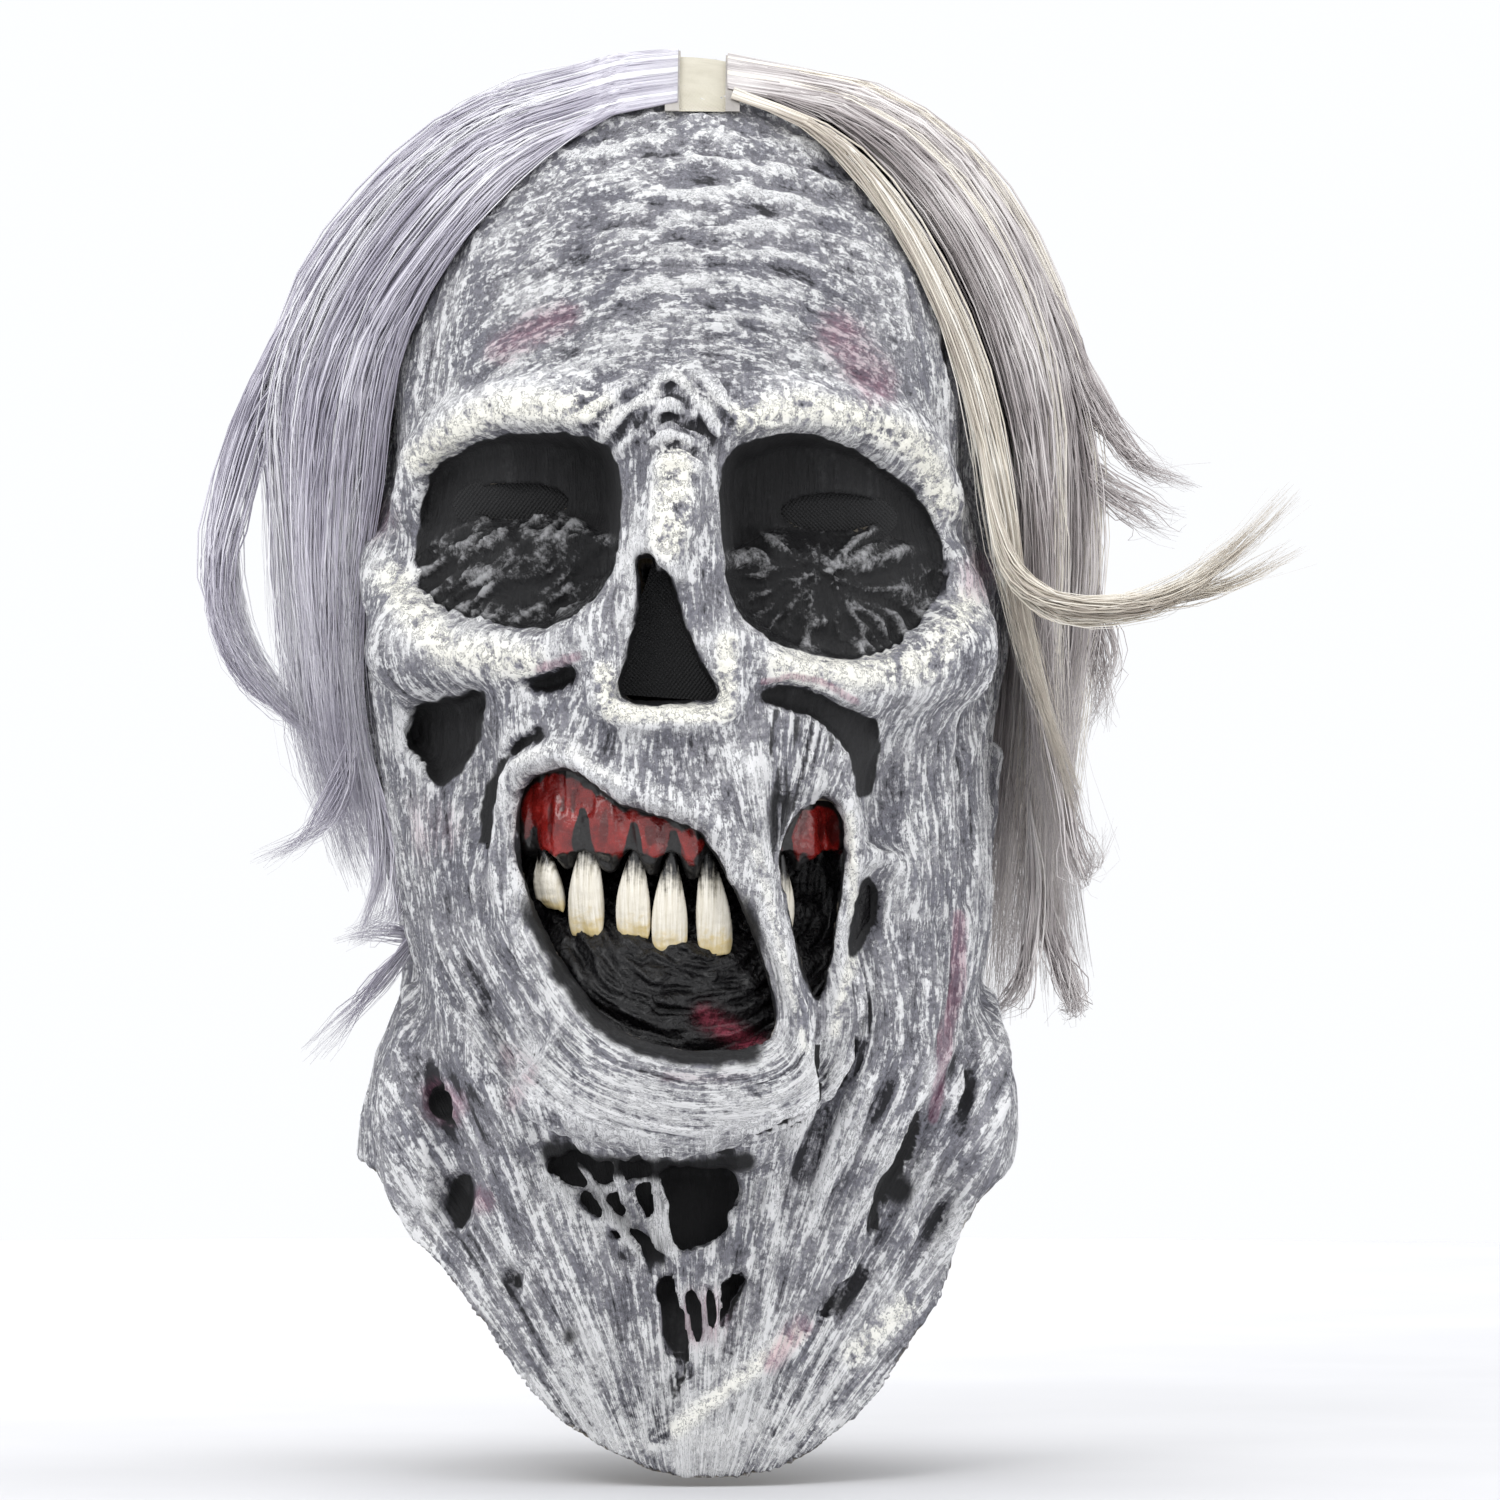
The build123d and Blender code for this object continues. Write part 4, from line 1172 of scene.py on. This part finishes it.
def make_gum(material):
    """The torn gum ridge, with a swollen lobe beside each root, sculpted in its own small block."""
    clay = Clay((-48, -104, -96), (50, -70, -54), 0.6)
    _, (x, y, z) = clay.block()
    radius = np.sqrt(x**2 + (y - GUM_AXIS_Y) ** 2)
    ripple = 1.4 * fractal(np.arctan2(x, GUM_AXIS_Y - y) * 9, 0.0, 0.0, 301, 2)
    slab = np.maximum(np.abs(radius - GUM_RADIUS) - GUM_HALF_WALL, np.abs(z - GUM_MIDDLE_Z) - GUM_HALF_HEIGHT)
    arc = np.abs(np.arctan2(x, GUM_AXIS_Y - y)) - GUM_HALF_ANGLE
    clay.d = np.maximum(slab, arc * 55).astype(np.float32) - ripple * 0.5
    for x_lobe, low, size in GUM_LOBES:
        turn = math.asin(x_lobe / 60)
        lobe = []
        for rise, out, share in ((0, 55.6, 0.5), (4, 57.4, 0.9), (11, 57.8, 1.1), (20, 55, 0.8)):
            place = (out * math.sin(turn), GUM_AXIS_Y - out * math.cos(turn), low + rise)
            lobe.append((*place, size * share))
        clay.limb(lobe, 3.4)
    points, quads = clay.surface()
    gum = make_mesh("upper_gum_sculpt", points, quads, material=material)
    normals = normals_of(gum)
    x, y, z = points.T
    folds = fractal(x / 5, y / 5, z / 8, 311) + 0.5 * (1 - 2.4 * np.abs(noise(x / 4, y / 6, z / 9, 317)))
    set_points(gum, points + normals * (0.55 * folds)[:, None])
    out = smoothstep(56.5, 60.0, np.sqrt(x**2 + (y - GUM_AXIS_Y) ** 2))
    dark = np.maximum(0.8 * (1 - out), smoothstep(-84, -90, z + 2.5 * folds))
    # Painted shade in the crevices between the folds.
    dark = np.maximum(dark, 0.5 * smoothstep(-0.3, -1.1, folds))
    # Painted shade along the edge of the lip, where the gum meets it.
    lip_shade_gap = np.minimum(to_outline(MOUTH_HOLE, x, z), to_outline(CHEEK_HOLE, x, z)) + folds
    dark = np.maximum(dark, smoothstep(-4.0, -0.5, lip_shade_gap))
    for x_root, root, *_ in TEETH:
        flame = (0.7 + 0.24 * np.clip(root + 5 - z, 0, 20)) * (1 + 0.4 * folds)
        flame = smoothstep(1.4, 0.6, np.abs(x - x_root) / flame) * smoothstep(root + 6, root + 3, z)
        dark = np.maximum(dark, flame)
    store(gum, "tissue", dark)
    glue(gum, "upper_gum")


def lining_depth(x, z):
    """Y of the black cup behind the mouth: deep behind the teeth, bulging forward under them."""
    back = np.full_like(x, -68)
    tongue = -99 + 0.011 * (x + 4) ** 2 + 0.018 * (z + 128) ** 2
    tongue = np.where(z < -128, -99 + 0.011 * (x + 4) ** 2 - 0.10 * (z + 128), tongue)
    outward = np.sqrt((x / 55) ** 2 + ((z + 102) / 45) ** 2)
    rim = -60 - 48 * smoothstep(0.72, 1.0, outward) * smoothstep(-78, -92, z)
    cup = smooth_min(smooth_min(back, tongue, 12), np.maximum(rim, -100), 8)
    return np.maximum(cup, front_y(x, z) + SKIN_WALL + 4)


def make_lining(material):
    """The mouth's black cup as one thin wrinkled sheet with a closed edge."""
    step = 0.65
    turns, rows = int(300 / step), int(52 / step)
    thickness = 1.6
    share = np.linspace(0.0, 1.0, rows + 1)[1:, None]
    turn = np.linspace(0, 2 * math.pi, turns, endpoint=False)[None]
    squareness = 3.4
    corner = (np.abs(np.cos(turn)) ** squareness + np.abs(np.sin(turn)) ** squareness) ** (-1 / squareness)
    x = share * 54 * corner * np.cos(turn)
    z = -102 + share * 44 * corner * np.sin(turn)
    y = lining_depth(x, z)
    along = np.arctan2(z + 96, x - 4)
    ridges = streaks(np.hypot(x - 4, z + 92), along * 34, 3.2, 14, 401)
    y = y - 1.5 * ridges * smoothstep(1.0, 0.9, share)
    front = np.stack([x, y, z], axis=-1).reshape(-1, 3)
    back = front + (0, thickness, 0)
    count = len(front)
    ring = np.arange(turns)
    following = np.roll(ring, -1)
    square = np.column_stack([ring, turns + ring, turns + following, following])
    walls = np.concatenate([r * turns + square for r in range(rows - 1)])
    last = (rows - 1) * turns
    edge = np.column_stack([last + ring, count + last + ring, count + last + following, last + following])
    points = np.vstack([front, back])
    caps = np.vstack([ring[None], count + ring[None, ::-1]])
    walls = np.vstack([walls, walls[:, ::-1] + count, edge])
    piece = make_mesh("mouth_lining_folds", points, walls, caps, material=material)
    red = near(points[:, 0], points[:, 2], ((8, -131), (17, -137), (25, -141)), 2.6)
    store(piece, "lining", np.column_stack([np.tile(ridges.ravel(), 2), red, 0 * red]))
    glue(piece, "mouth_lining")


def lining_finish():
    """Glossy black latex with a painted grey highlight on the tops of its folds, and one raw red streak."""
    f = Finish("black_lining")
    ridges, red, _ = f.stored("lining")
    place = f.place()
    grain = f.noise(place, 480.0, 4.0, 0.65)
    # Painted highlight: grey on the tops of the folds.
    painted_fold_highlight = f.ramp(f.sum(f.weigh((ridges, 0.5), (grain, 2.6)), -1.3), 0.6, 1.5, 0.0, 0.6)
    colour = f.mix(painted_fold_highlight, paint(15, 14, 16), paint(84, 81, 88))
    colour = f.mix(f.times(red, f.ramp(grain, 0.35, 0.65, 0.2, 0.9)), colour, paint(148, 66, 82))
    f.set(Base_Color=colour, Roughness=f.ramp(grain, 0.3, 0.7, 0.16, 0.34))
    f.set(Specular_IOR_Level=0.35, Coat_Weight=0.15)
    f.bump(grain, 0.0012)
    return f.material


enamel = tooth_finish()
for tooth_number, tooth_row in enumerate(TEETH, start=1):
    make_tooth(enamel, tooth_number, *tooth_row)
make_gum(gum_finish())
make_lining(lining_finish())


# ---------------------------------------------------------------- hair


def off_head(points, gap):
    """Moves points that are nearer the plain head than gap out to it."""
    x, y, z = points[..., 0], points[..., 1], points[..., 2]
    width, front, back = head_rows(FACE_SECTIONS, np.clip(z, -110, DOME_CENTRE[2]))
    middle, depth = (front + back) / 2, (back - front) / 2
    rise = np.clip((z - DOME_CENTRE[2]) / (DOME_RADII[2] + gap), 0, 0.999)
    flat = np.sqrt((x / (width + gap)) ** 2 + ((y - middle) / (depth + gap)) ** 2)
    reach = np.sqrt(flat**2 + rise**2) + 1e-6
    grow = np.clip(1 / reach, 1, None)
    out = points.copy()
    out[..., 0] = x * grow
    out[..., 1] = middle + (y - middle) * grow
    out[..., 2] = np.where(z > DOME_CENTRE[2], DOME_CENTRE[2] + (z - DOME_CENTRE[2]) * grow, z)
    return out


# Points along a strand, its mean width, and how far it stands off the scalp at its root and beyond.
STRAND_POINTS = 16
STRAND_WIDTH = 0.5
ROOT_GAP = 3.0
SCALP_GAP = 1.5


def grow_hair(guides, count, seed, thick=5.0, clumps=30, frizz=3.0, spare=0.22):
    """The centre lines, widths and tints of strands that follow a fan of guide locks.

    guides are lists of (x, y, z), all as long, side by side across the fan; spare is how much of the
    length the shortest strands lack."""
    count = int(count * HAIR_SHARE)
    rng = np.random.default_rng(seed)
    share = np.linspace(0, 1, STRAND_POINTS)
    fan = np.array([spline_rows(np.column_stack([np.linspace(0, 1, len(g)), g]), share) for g in guides])
    if len(fan) > 1:
        fan = smooth_path(fan.reshape(len(fan), -1), 8).reshape(-1, STRAND_POINTS, 3)
    across = rng.random(count)
    clump = (np.floor(across * clumps) + rng.random(count) * 0.3 + 0.35) / clumps
    pull = 0.85 * smoothstep(0.15, 1.0, share)
    place = across[:, None] + (clump - across)[:, None] * pull
    length = 1 - spare * rng.random(count) ** 1.5
    length = length - 0.5 * (rng.random(count) < 0.06) * rng.random(count)
    along = share[None] * length[:, None]
    u = np.clip(place, 0, 1) * (len(fan) - 1)
    v = along * (STRAND_POINTS - 1)
    iu = np.minimum(u.astype(int), max(len(fan) - 2, 0))
    iv = np.minimum(v.astype(int), STRAND_POINTS - 2)
    fu, fv = (u - iu)[..., None], (v - iv)[..., None]
    ju = np.minimum(iu + 1, len(fan) - 1)
    lock, next_lock = (fan[k, iv] * (1 - fv) + fan[k, iv + 1] * fv for k in (iu, ju))
    line = lock * (1 - fu) + next_lock * fu

    spread = rng.normal(size=(count, 3)) * 0.5
    lock_seed = np.floor(across * clumps)

    def drift(own, pace, step, drift_seed):
        """Slow wandering in X, Y and Z along each strand."""
        return np.stack([noise(own[:, None], along * pace, k * step, drift_seed) for k in range(3)], axis=-1)

    sway = drift(lock_seed * 3.7, 3.0, 11.0, seed + 5)
    wave = drift(np.arange(count) * 1.7, 6.0, 7.0, seed + 9)
    body = smoothstep(0.0, 0.25, along) * (1 - 0.5 * smoothstep(0.6, 1.0, along))
    line = line + spread[:, None] * (thick * body)[..., None]
    line = line + sway * (frizz * 1.2 * smoothstep(0.1, 0.8, along))[..., None]
    wild = 0.35 + 1.6 * rng.random(count) ** 5
    line = line + wave * (frizz * wild[:, None] * smoothstep(0.05, 1.0, along))[..., None]
    lift = rng.random(count)[:, None] ** 2 * smoothstep(0.0, 0.35, along)
    over = 0.4 + (ROOT_GAP - 0.4) * smoothstep(0.15, 0.04, along) + SCALP_GAP * smoothstep(0.0, 0.1, along)
    line = off_head(line, over + thick * lift)
    taper = 1 - 0.88 * smoothstep(0.45, 1.0, share)
    widths = STRAND_WIDTH * (0.55 + 0.9 * rng.random(count))[:, None] * taper[None]
    own, lock = rng.random(count), (lock_seed * 0.618) % 1
    tint = np.stack(np.broadcast_arrays(own[:, None], along, lock[:, None]), axis=-1)
    return line, widths, tint


def hair_piece(name, batches, material):
    """One mesh of thin three-sided strands from batches of centre lines of equal length."""
    line, widths, tint = (np.concatenate(part) for part in zip(*batches))
    count, sections, _ = line.shape
    tangent = np.gradient(line, axis=1)
    tangent /= np.linalg.norm(tangent, axis=-1, keepdims=True) + 1e-9
    side = np.cross(tangent, (0.31, 0.93, 0.18))
    side /= np.linalg.norm(side, axis=-1, keepdims=True) + 1e-9
    up = np.cross(side, tangent)
    turn = np.arange(3) * 2 * math.pi / 3
    ring = side[:, :, None] * np.cos(turn)[:, None] + up[:, :, None] * np.sin(turn)[:, None]
    points = line[:, :, None] + ring * (widths / 2)[:, :, None, None]
    piece = make_mesh(name, points.reshape(-1, 3), *tube_faces(count, sections, 3), material=material)
    store(piece, "strand", np.repeat(tint.reshape(-1, 3), 3, axis=0))
    return piece


def hair_finish(name, *tints):
    """Synthetic fibre: each strand and each lock has its own tint, darker towards the tips."""
    f = Finish(name)
    deep, middle, light, streak = (paint(*tint) for tint in tints)
    own, along, lock = f.stored("strand")
    place = f.place()
    sheen = f.noise(place, 34.0, 2.0, 0.5)
    tint = f.sum(f.weigh((own, 0.55), (lock, 0.35), (sheen, 1.1)), -0.55)
    colour = f.mix(f.ramp(tint, 0.1, 0.5), deep, middle)
    colour = f.mix(f.ramp(tint, 0.45, 0.85), colour, light)
    colour = f.mix(f.ramp(lock, 0.72, 0.8, 0.0, 0.75), colour, streak)
    colour = f.mix(f.ramp(along, 0.72, 1.0, 0.0, 0.6), colour, deep)
    f.set(Base_Color=colour, Roughness=f.ramp(sheen, 0.3, 0.7, 0.34, 0.46))
    f.set(Specular_IOR_Level=0.5, Sheen_Weight=0.15)
    f.bump(f.noise(place, 900.0, 2.0, 0.5), 0.0001)
    return f.material


# Guide locks, each from the parting to its tip.
LEFT_FAN = (
    ((0, -49, 123), (-33, -52, 112), (-52, -51, 96), (-68, -48, 76), (-80, -44, 56), (-86, -42, 26),
     (-90, -38, -6), (-94, -32, -40), (-88, -28, -74)),
    ((0, -42, 127), (-40, -46, 117), (-64, -44, 98), (-84, -38, 72), (-97, -34, 44), (-101, -32, 10),
     (-100, -30, -24), (-94, -26, -60), (-84, -22, -98)),
    ((0, -24, 135), (-44, -28, 126), (-74, -28, 104), (-96, -24, 76), (-109, -20, 44), (-107, -18, 8),
     (-104, -18, -26), (-100, -18, -56), (-86, -16, -88)),
    ((0, 0, 141), (-46, -4, 131), (-78, -6, 106), (-101, -4, 76), (-110, -2, 42), (-107, 0, 6),
     (-106, 2, -30), (-102, 4, -58), (-90, 6, -92)),
    ((0, 26, 141), (-48, 26, 130), (-80, 28, 101), (-99, 30, 68), (-108, 32, 30), (-110, 34, -8),
     (-106, 36, -40), (-99, 38, -66), (-92, 40, -94)),
    ((0, 50, 134), (-44, 56, 122), (-74, 60, 94), (-92, 64, 58), (-100, 68, 16), (-102, 70, -24),
     (-98, 72, -52), (-93, 72, -76), (-86, 72, -98)),
    ((2, 76, 121), (-34, 84, 109), (-60, 90, 80), (-77, 94, 44), (-86, 96, 4), (-88, 98, -36),
     (-86, 98, -62), (-81, 98, -84), (-74, 98, -104)),
)
LEFT_LOOP = (
    ((-30, -20, 132), (-66, -22, 112), (-94, -20, 86), (-114, -18, 60), (-127, -16, 28), (-131, -14, -6),
     (-124, -14, -32), (-108, -14, -46), (-92, -14, -54)),
    ((-30, -8, 134), (-66, -10, 114), (-92, -10, 88), (-110, -8, 64), (-123, -8, 34), (-129, -8, -2),
     (-125, -8, -26), (-112, -8, -44), (-98, -8, -60)),
)
LEFT_WISPS = (
    (((-96, -24, -10), (-93, -26, -36), (-92, -26, -58), (-100, -26, -78), (-118, -26, -88)), 90, 2.0),
    (((-92, -20, -12), (-90, -22, -40), (-86, -22, -66), (-84, -22, -92), (-88, -22, -108)), 120, 2.0),
    (((-84, -20, -40), (-82, -22, -66), (-79, -22, -88), (-80, -22, -104), (-94, -22, -112)), 60, 1.4),
    (((-72, -10, -80), (-70, -14, -98), (-76, -16, -112), (-88, -16, -128), (-104, -16, -144)), 70, 1.2),
    (((-72, 0, -84), (-68, -4, -102), (-72, -6, -110), (-84, -6, -110), (-96, -6, -114)), 40, 1.0),
    (((-104, -16, 58), (-118, -16, 36), (-126, -16, 8), (-128, -16, -18), (-120, -16, -40)), 60, 4.0),
)
RIGHT_FAN = (
    ((14, -40, 129), (44, -42, 122), (68, -42, 102), (86, -38, 72), (97, -34, 40), (101, -32, 8),
     (103, -30, -24), (107, -28, -54), (113, -26, -82)),
    ((14, -22, 137), (50, -24, 128), (78, -24, 106), (96, -22, 76), (107, -18, 42), (109, -16, 8),
     (107, -14, -30), (106, -12, -66), (110, -10, -104)),
    ((14, 4, 141), (56, 2, 130), (84, 2, 107), (102, 4, 76), (113, 6, 42), (114, 8, 6), (110, 10, -36),
     (107, 12, -80), (111, 14, -126)),
    ((14, 28, 140), (56, 30, 126), (84, 32, 98), (102, 36, 62), (110, 40, 22), (110, 42, -18),
     (107, 44, -58), (104, 46, -92), (104, 48, -128)),
    ((14, 52, 132), (50, 60, 118), (78, 66, 88), (94, 72, 50), (101, 76, 8), (102, 78, -32), (99, 80, -70),
     (96, 80, -100), (93, 80, -130)),
    ((12, 76, 120), (42, 86, 107), (66, 92, 76), (81, 96, 40), (88, 98, 0), (89, 100, -40), (88, 100, -78),
     (85, 100, -108), (81, 100, -138)),
)
RIGHT_FRONT_LOCK = (
    ((15, -46, 126), (36, -50, 118), (50, -48, 105), (64, -47, 82), (77, -45, 52), (87, -44, 18),
     (92, -44, -8), (101, -42, -40), (114, -40, -72)),
    ((16, -42, 129), (42, -46, 117), (60, -45, 99), (75, -44, 74), (87, -42, 44), (93, -40, 12),
     (96, -40, -14), (104, -38, -46), (112, -36, -78)),
)
RIGHT_TIPS = (
    (((98, -12, 84), (108, -12, 64), (117, -12, 42), (128, -12, 27), (145, -12, 19)), 150, 3.5),
    (((102, -8, 60), (110, -10, 36), (118, -10, 18), (130, -10, 8), (141, -10, 6)), 90, 3.0),
    (((108, 0, 30), (113, 0, 6), (117, 0, -14), (122, 0, -34), (120, 0, -52)), 110, 3.0),
    (((100, -24, -20), (104, -26, -48), (110, -26, -72), (118, -26, -92), (121, -26, -80)), 60, 2.5),
    (((100, 6, -70), (102, 4, -96), (100, 2, -116), (94, 2, -128), (86, 2, -136)), 60, 2.0),
    (((104, 10, -60), (106, 8, -90), (108, 6, -112), (112, 6, -128), (114, 6, -130)), 120, 3.0),
)
FLICKS = (
    (((84, -46, 34), (89, -54, 6), (96, -57, -10), (113, -58, -17), (138, -58, -13), (156, -57, 0),
      (173, -56, 17)), 150, 2.2),
    (((86, -46, 24), (91, -54, -2), (100, -56, -14), (118, -57, -16), (140, -57, -13), (160, -56, -8),
      (176, -55, 0)), 80, 1.8),
    (((84, -44, 40), (88, -50, 12), (93, -52, -8), (106, -53, -20), (124, -53, -20), (138, -52, -16),
      (150, -51, -8)), 60, 2.4),
)
BACK_FAN = (
    ((-4, 68, 126), (-52, 86, 92), (-76, 96, 50), (-84, 100, 10), (-84, 104, -30), (-80, 106, -70),
     (-72, 106, -104), (-64, 106, -138)),
    ((0, 72, 124), (-28, 102, 92), (-42, 116, 52), (-46, 122, 10), (-48, 124, -30), (-46, 122, -72),
     (-42, 118, -108), (-38, 114, -142)),
    ((7, 73, 124), (6, 106, 92), (4, 120, 52), (2, 127, 10), (0, 129, -30), (0, 126, -72), (2, 121, -110),
     (2, 117, -143)),
    ((14, 72, 124), (38, 102, 92), (48, 116, 52), (50, 122, 10), (50, 124, -30), (48, 122, -72),
     (44, 118, -108), (42, 114, -142)),
    ((18, 68, 126), (60, 86, 92), (82, 96, 50), (88, 100, 10), (88, 104, -30), (82, 106, -70),
     (74, 106, -104), (66, 106, -138)),
)


def hang_hair(name, batches, material, body, slot, *nodes):
    """A piece of hair from batches of strands, standing for the CAD nodes it hides."""
    piece = hair_piece(name, batches, material)
    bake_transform(piece)
    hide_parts(*nodes)


def grow_wisps(rows, first_seed, frizz=2.0):
    """A batch for each (guide, count, thickness)."""
    return [
        grow_hair((guide,), count, first_seed + i, thick=thick, clumps=3, frizz=frizz)
        for i, (guide, count, thick) in enumerate(rows)
    ]


def make_hair():
    silver = hair_finish("silver_hair", (176, 172, 186), (222, 219, 229), (248, 247, 251), (253, 253, 255))
    warm = hair_finish("warm_hair", (164, 156, 156), (216, 210, 209), (243, 239, 236), (247, 241, 228))
    cream = hair_finish("cream_lock", (184, 174, 162), (230, 222, 207), (248, 244, 235), (253, 251, 244))

    left = [grow_hair(LEFT_FAN, 2600, 1, spare=0.34)]
    left += [grow_hair(LEFT_LOOP, 420, 2, thick=1.8, clumps=5, frizz=2.0)]
    left += grow_wisps(LEFT_WISPS, 10)
    right = [grow_hair(RIGHT_FAN, 2600, 3)] + grow_wisps(RIGHT_TIPS, 30, frizz=2.5)
    front = [grow_hair(RIGHT_FRONT_LOCK, 360, 4, thick=2.2, clumps=7, frizz=1.6)]
    flick = grow_wisps(FLICKS, 50)
    back = [grow_hair(BACK_FAN, 1900, 5)]
    for name, batches, material, body, slot, *nodes in (
        ("hair_left_strands", left, silver, "hair_left", "hair_left",
         "crown_hair_left", "hair_left_curtain"),
        ("hair_right_strands", right, warm, "hair_right", "hair_right",
         "crown_hair_right", "hair_right_curtain"),
        ("hair_right_front_lock", front, cream, "hair_right", "hair_right", "hair_right_temple_lock"),
        ("hair_right_flick", flick, cream, "hair_right", "hair_right", "hair_right_flick_lock"),
        ("hair_back_strands", back, warm, "hair_back", "hair_right", "hair_back_curtain"),
    ):
        hang_hair(name, batches, material, body, slot, *nodes)


make_hair()


# ---------------------------------------------------------------- ribbon, stitching and screens


def cloth_finish(name, dark, light, pitch, rough, sheen):
    """A plain weave: threads over and under, worn a little darker in patches; pitch is in metres."""
    f = Finish(name)
    place = f.place()
    x, y, z = f.split(place)
    turns = 2 * math.pi / pitch
    warp = f.maths("SINE", f.times(f.sum(x, f.times(z, 0.13)), turns))
    fill = f.maths("SINE", f.times(f.sum(y, f.times(z, 0.9)), turns))
    thread = f.times(warp, fill)
    wear = f.noise(place, 90.0, 3.0, 0.6)
    shade = f.sum(f.ramp(thread, -0.8, 0.8, 0.0, 0.55), f.ramp(wear, 0.3, 0.7, 0.0, 0.45))
    f.set(Base_Color=f.mix(shade, paint(*dark), paint(*light)))
    f.set(Roughness=f.ramp(wear, 0.3, 0.7, rough, rough + 0.12), Sheen_Weight=sheen)
    f.bump(thread, pitch * 0.25)
    return f.material


# CAD nodes that stay, and their cloth: name, dark, light, pitch, roughness, sheen.
CLOTHS = (
    (("parting_tape",), ("cream_ribbon", (204, 196, 172), (238, 232, 214), 0.0011, 0.7, 0.2)),
    (("weft_track_left", "weft_track_right"),
     ("stitched_thread", (150, 144, 140), (222, 216, 208), 0.0008, 0.6, 0.2)),
    (("weft_band_left", "weft_band_right", "weft_band_back"),
     ("weft_tape", (132, 128, 132), (196, 192, 196), 0.0009, 0.65, 0.2)),
    (("eye_screen_left", "eye_screen_right", "nose_screen"),
     ("black_mesh", (40, 40, 41), (50, 50, 51), 0.0012, 0.9, 0.0)),
)
for node_names, settings in CLOTHS:
    cloth = cloth_finish(*settings)
    for node_name in node_names:
        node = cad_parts[node_name]
        node.data.materials.clear()
        node.data.materials.append(cloth)


# ---------------------------------------------------------------- camera, light and floor


VIEW_CENTRE = (0.0204, -0.0574)
VIEW_DISTANCE = 3.2
VIEW_WIDTH = 0.42
SENSOR_WIDTH = 36
FACE_DEPTH = 0.06
LIGHT_TARGET = (0.02, 0.0, -0.05)
FLOOR_Z = -262.0
FLOOR_RADIUS = 1500.0


def aim(thing, target):
    direction = mathutils.Vector(target) - thing.location
    thing.rotation_euler = direction.to_track_quat("-Z", "Y").to_euler()


def soft_light(name, place, size, power):
    light = bpy.data.lights.new(name, "AREA")
    light.energy = power
    light.size = size
    lamp = bpy.data.objects.new(name, light)
    lamp.location = place
    aim(lamp, LIGHT_TARGET)
    bpy.context.scene.collection.objects.link(lamp)


def set_stage():
    scene = bpy.context.scene
    camera = bpy.data.objects.new("camera", bpy.data.cameras.new("camera"))
    camera.location = (VIEW_CENTRE[0], -VIEW_DISTANCE, VIEW_CENTRE[1])
    aim(camera, (VIEW_CENTRE[0], 0.0, VIEW_CENTRE[1]))
    camera.data.sensor_width = SENSOR_WIDTH
    camera.data.lens = SENSOR_WIDTH * (VIEW_DISTANCE - FACE_DEPTH) / VIEW_WIDTH
    scene.collection.objects.link(camera)
    scene.camera = camera

    turn = np.linspace(0, 2 * math.pi, 96, endpoint=False)
    rim = np.column_stack([np.cos(turn), np.sin(turn), 0 * turn]) * FLOOR_RADIUS
    floor = make_mesh("floor", rim + (0, 0, FLOOR_Z), [list(range(96))])
    f = Finish("pale_floor")
    shade = f.ramp(f.noise(f.place(), 6.0), 0.3, 0.7)
    f.set(Base_Color=f.mix(shade, paint(206, 206, 208), paint(211, 211, 213)), Roughness=0.8)
    floor.data.materials.append(f.material)

    soft_light("key", (-0.7, -1.5, 1.1), 0.9, 13)
    soft_light("fill", (1.3, -1.4, 0.3), 1.2, 6)
    soft_light("top", (0.1, 0.4, 1.6), 1.2, 10)
    soft_light("back", (-0.3, 1.6, 0.6), 1.2, 7)
    world = bpy.data.worlds.new("studio")
    world.use_nodes = True
    background = world.node_tree.nodes["Background"].inputs
    background["Color"].default_value = (0.93, 0.94, 0.96, 1)
    background["Strength"].default_value = 1.06
    scene.world = world
    scene.view_settings.view_transform = "Standard"


set_stage()
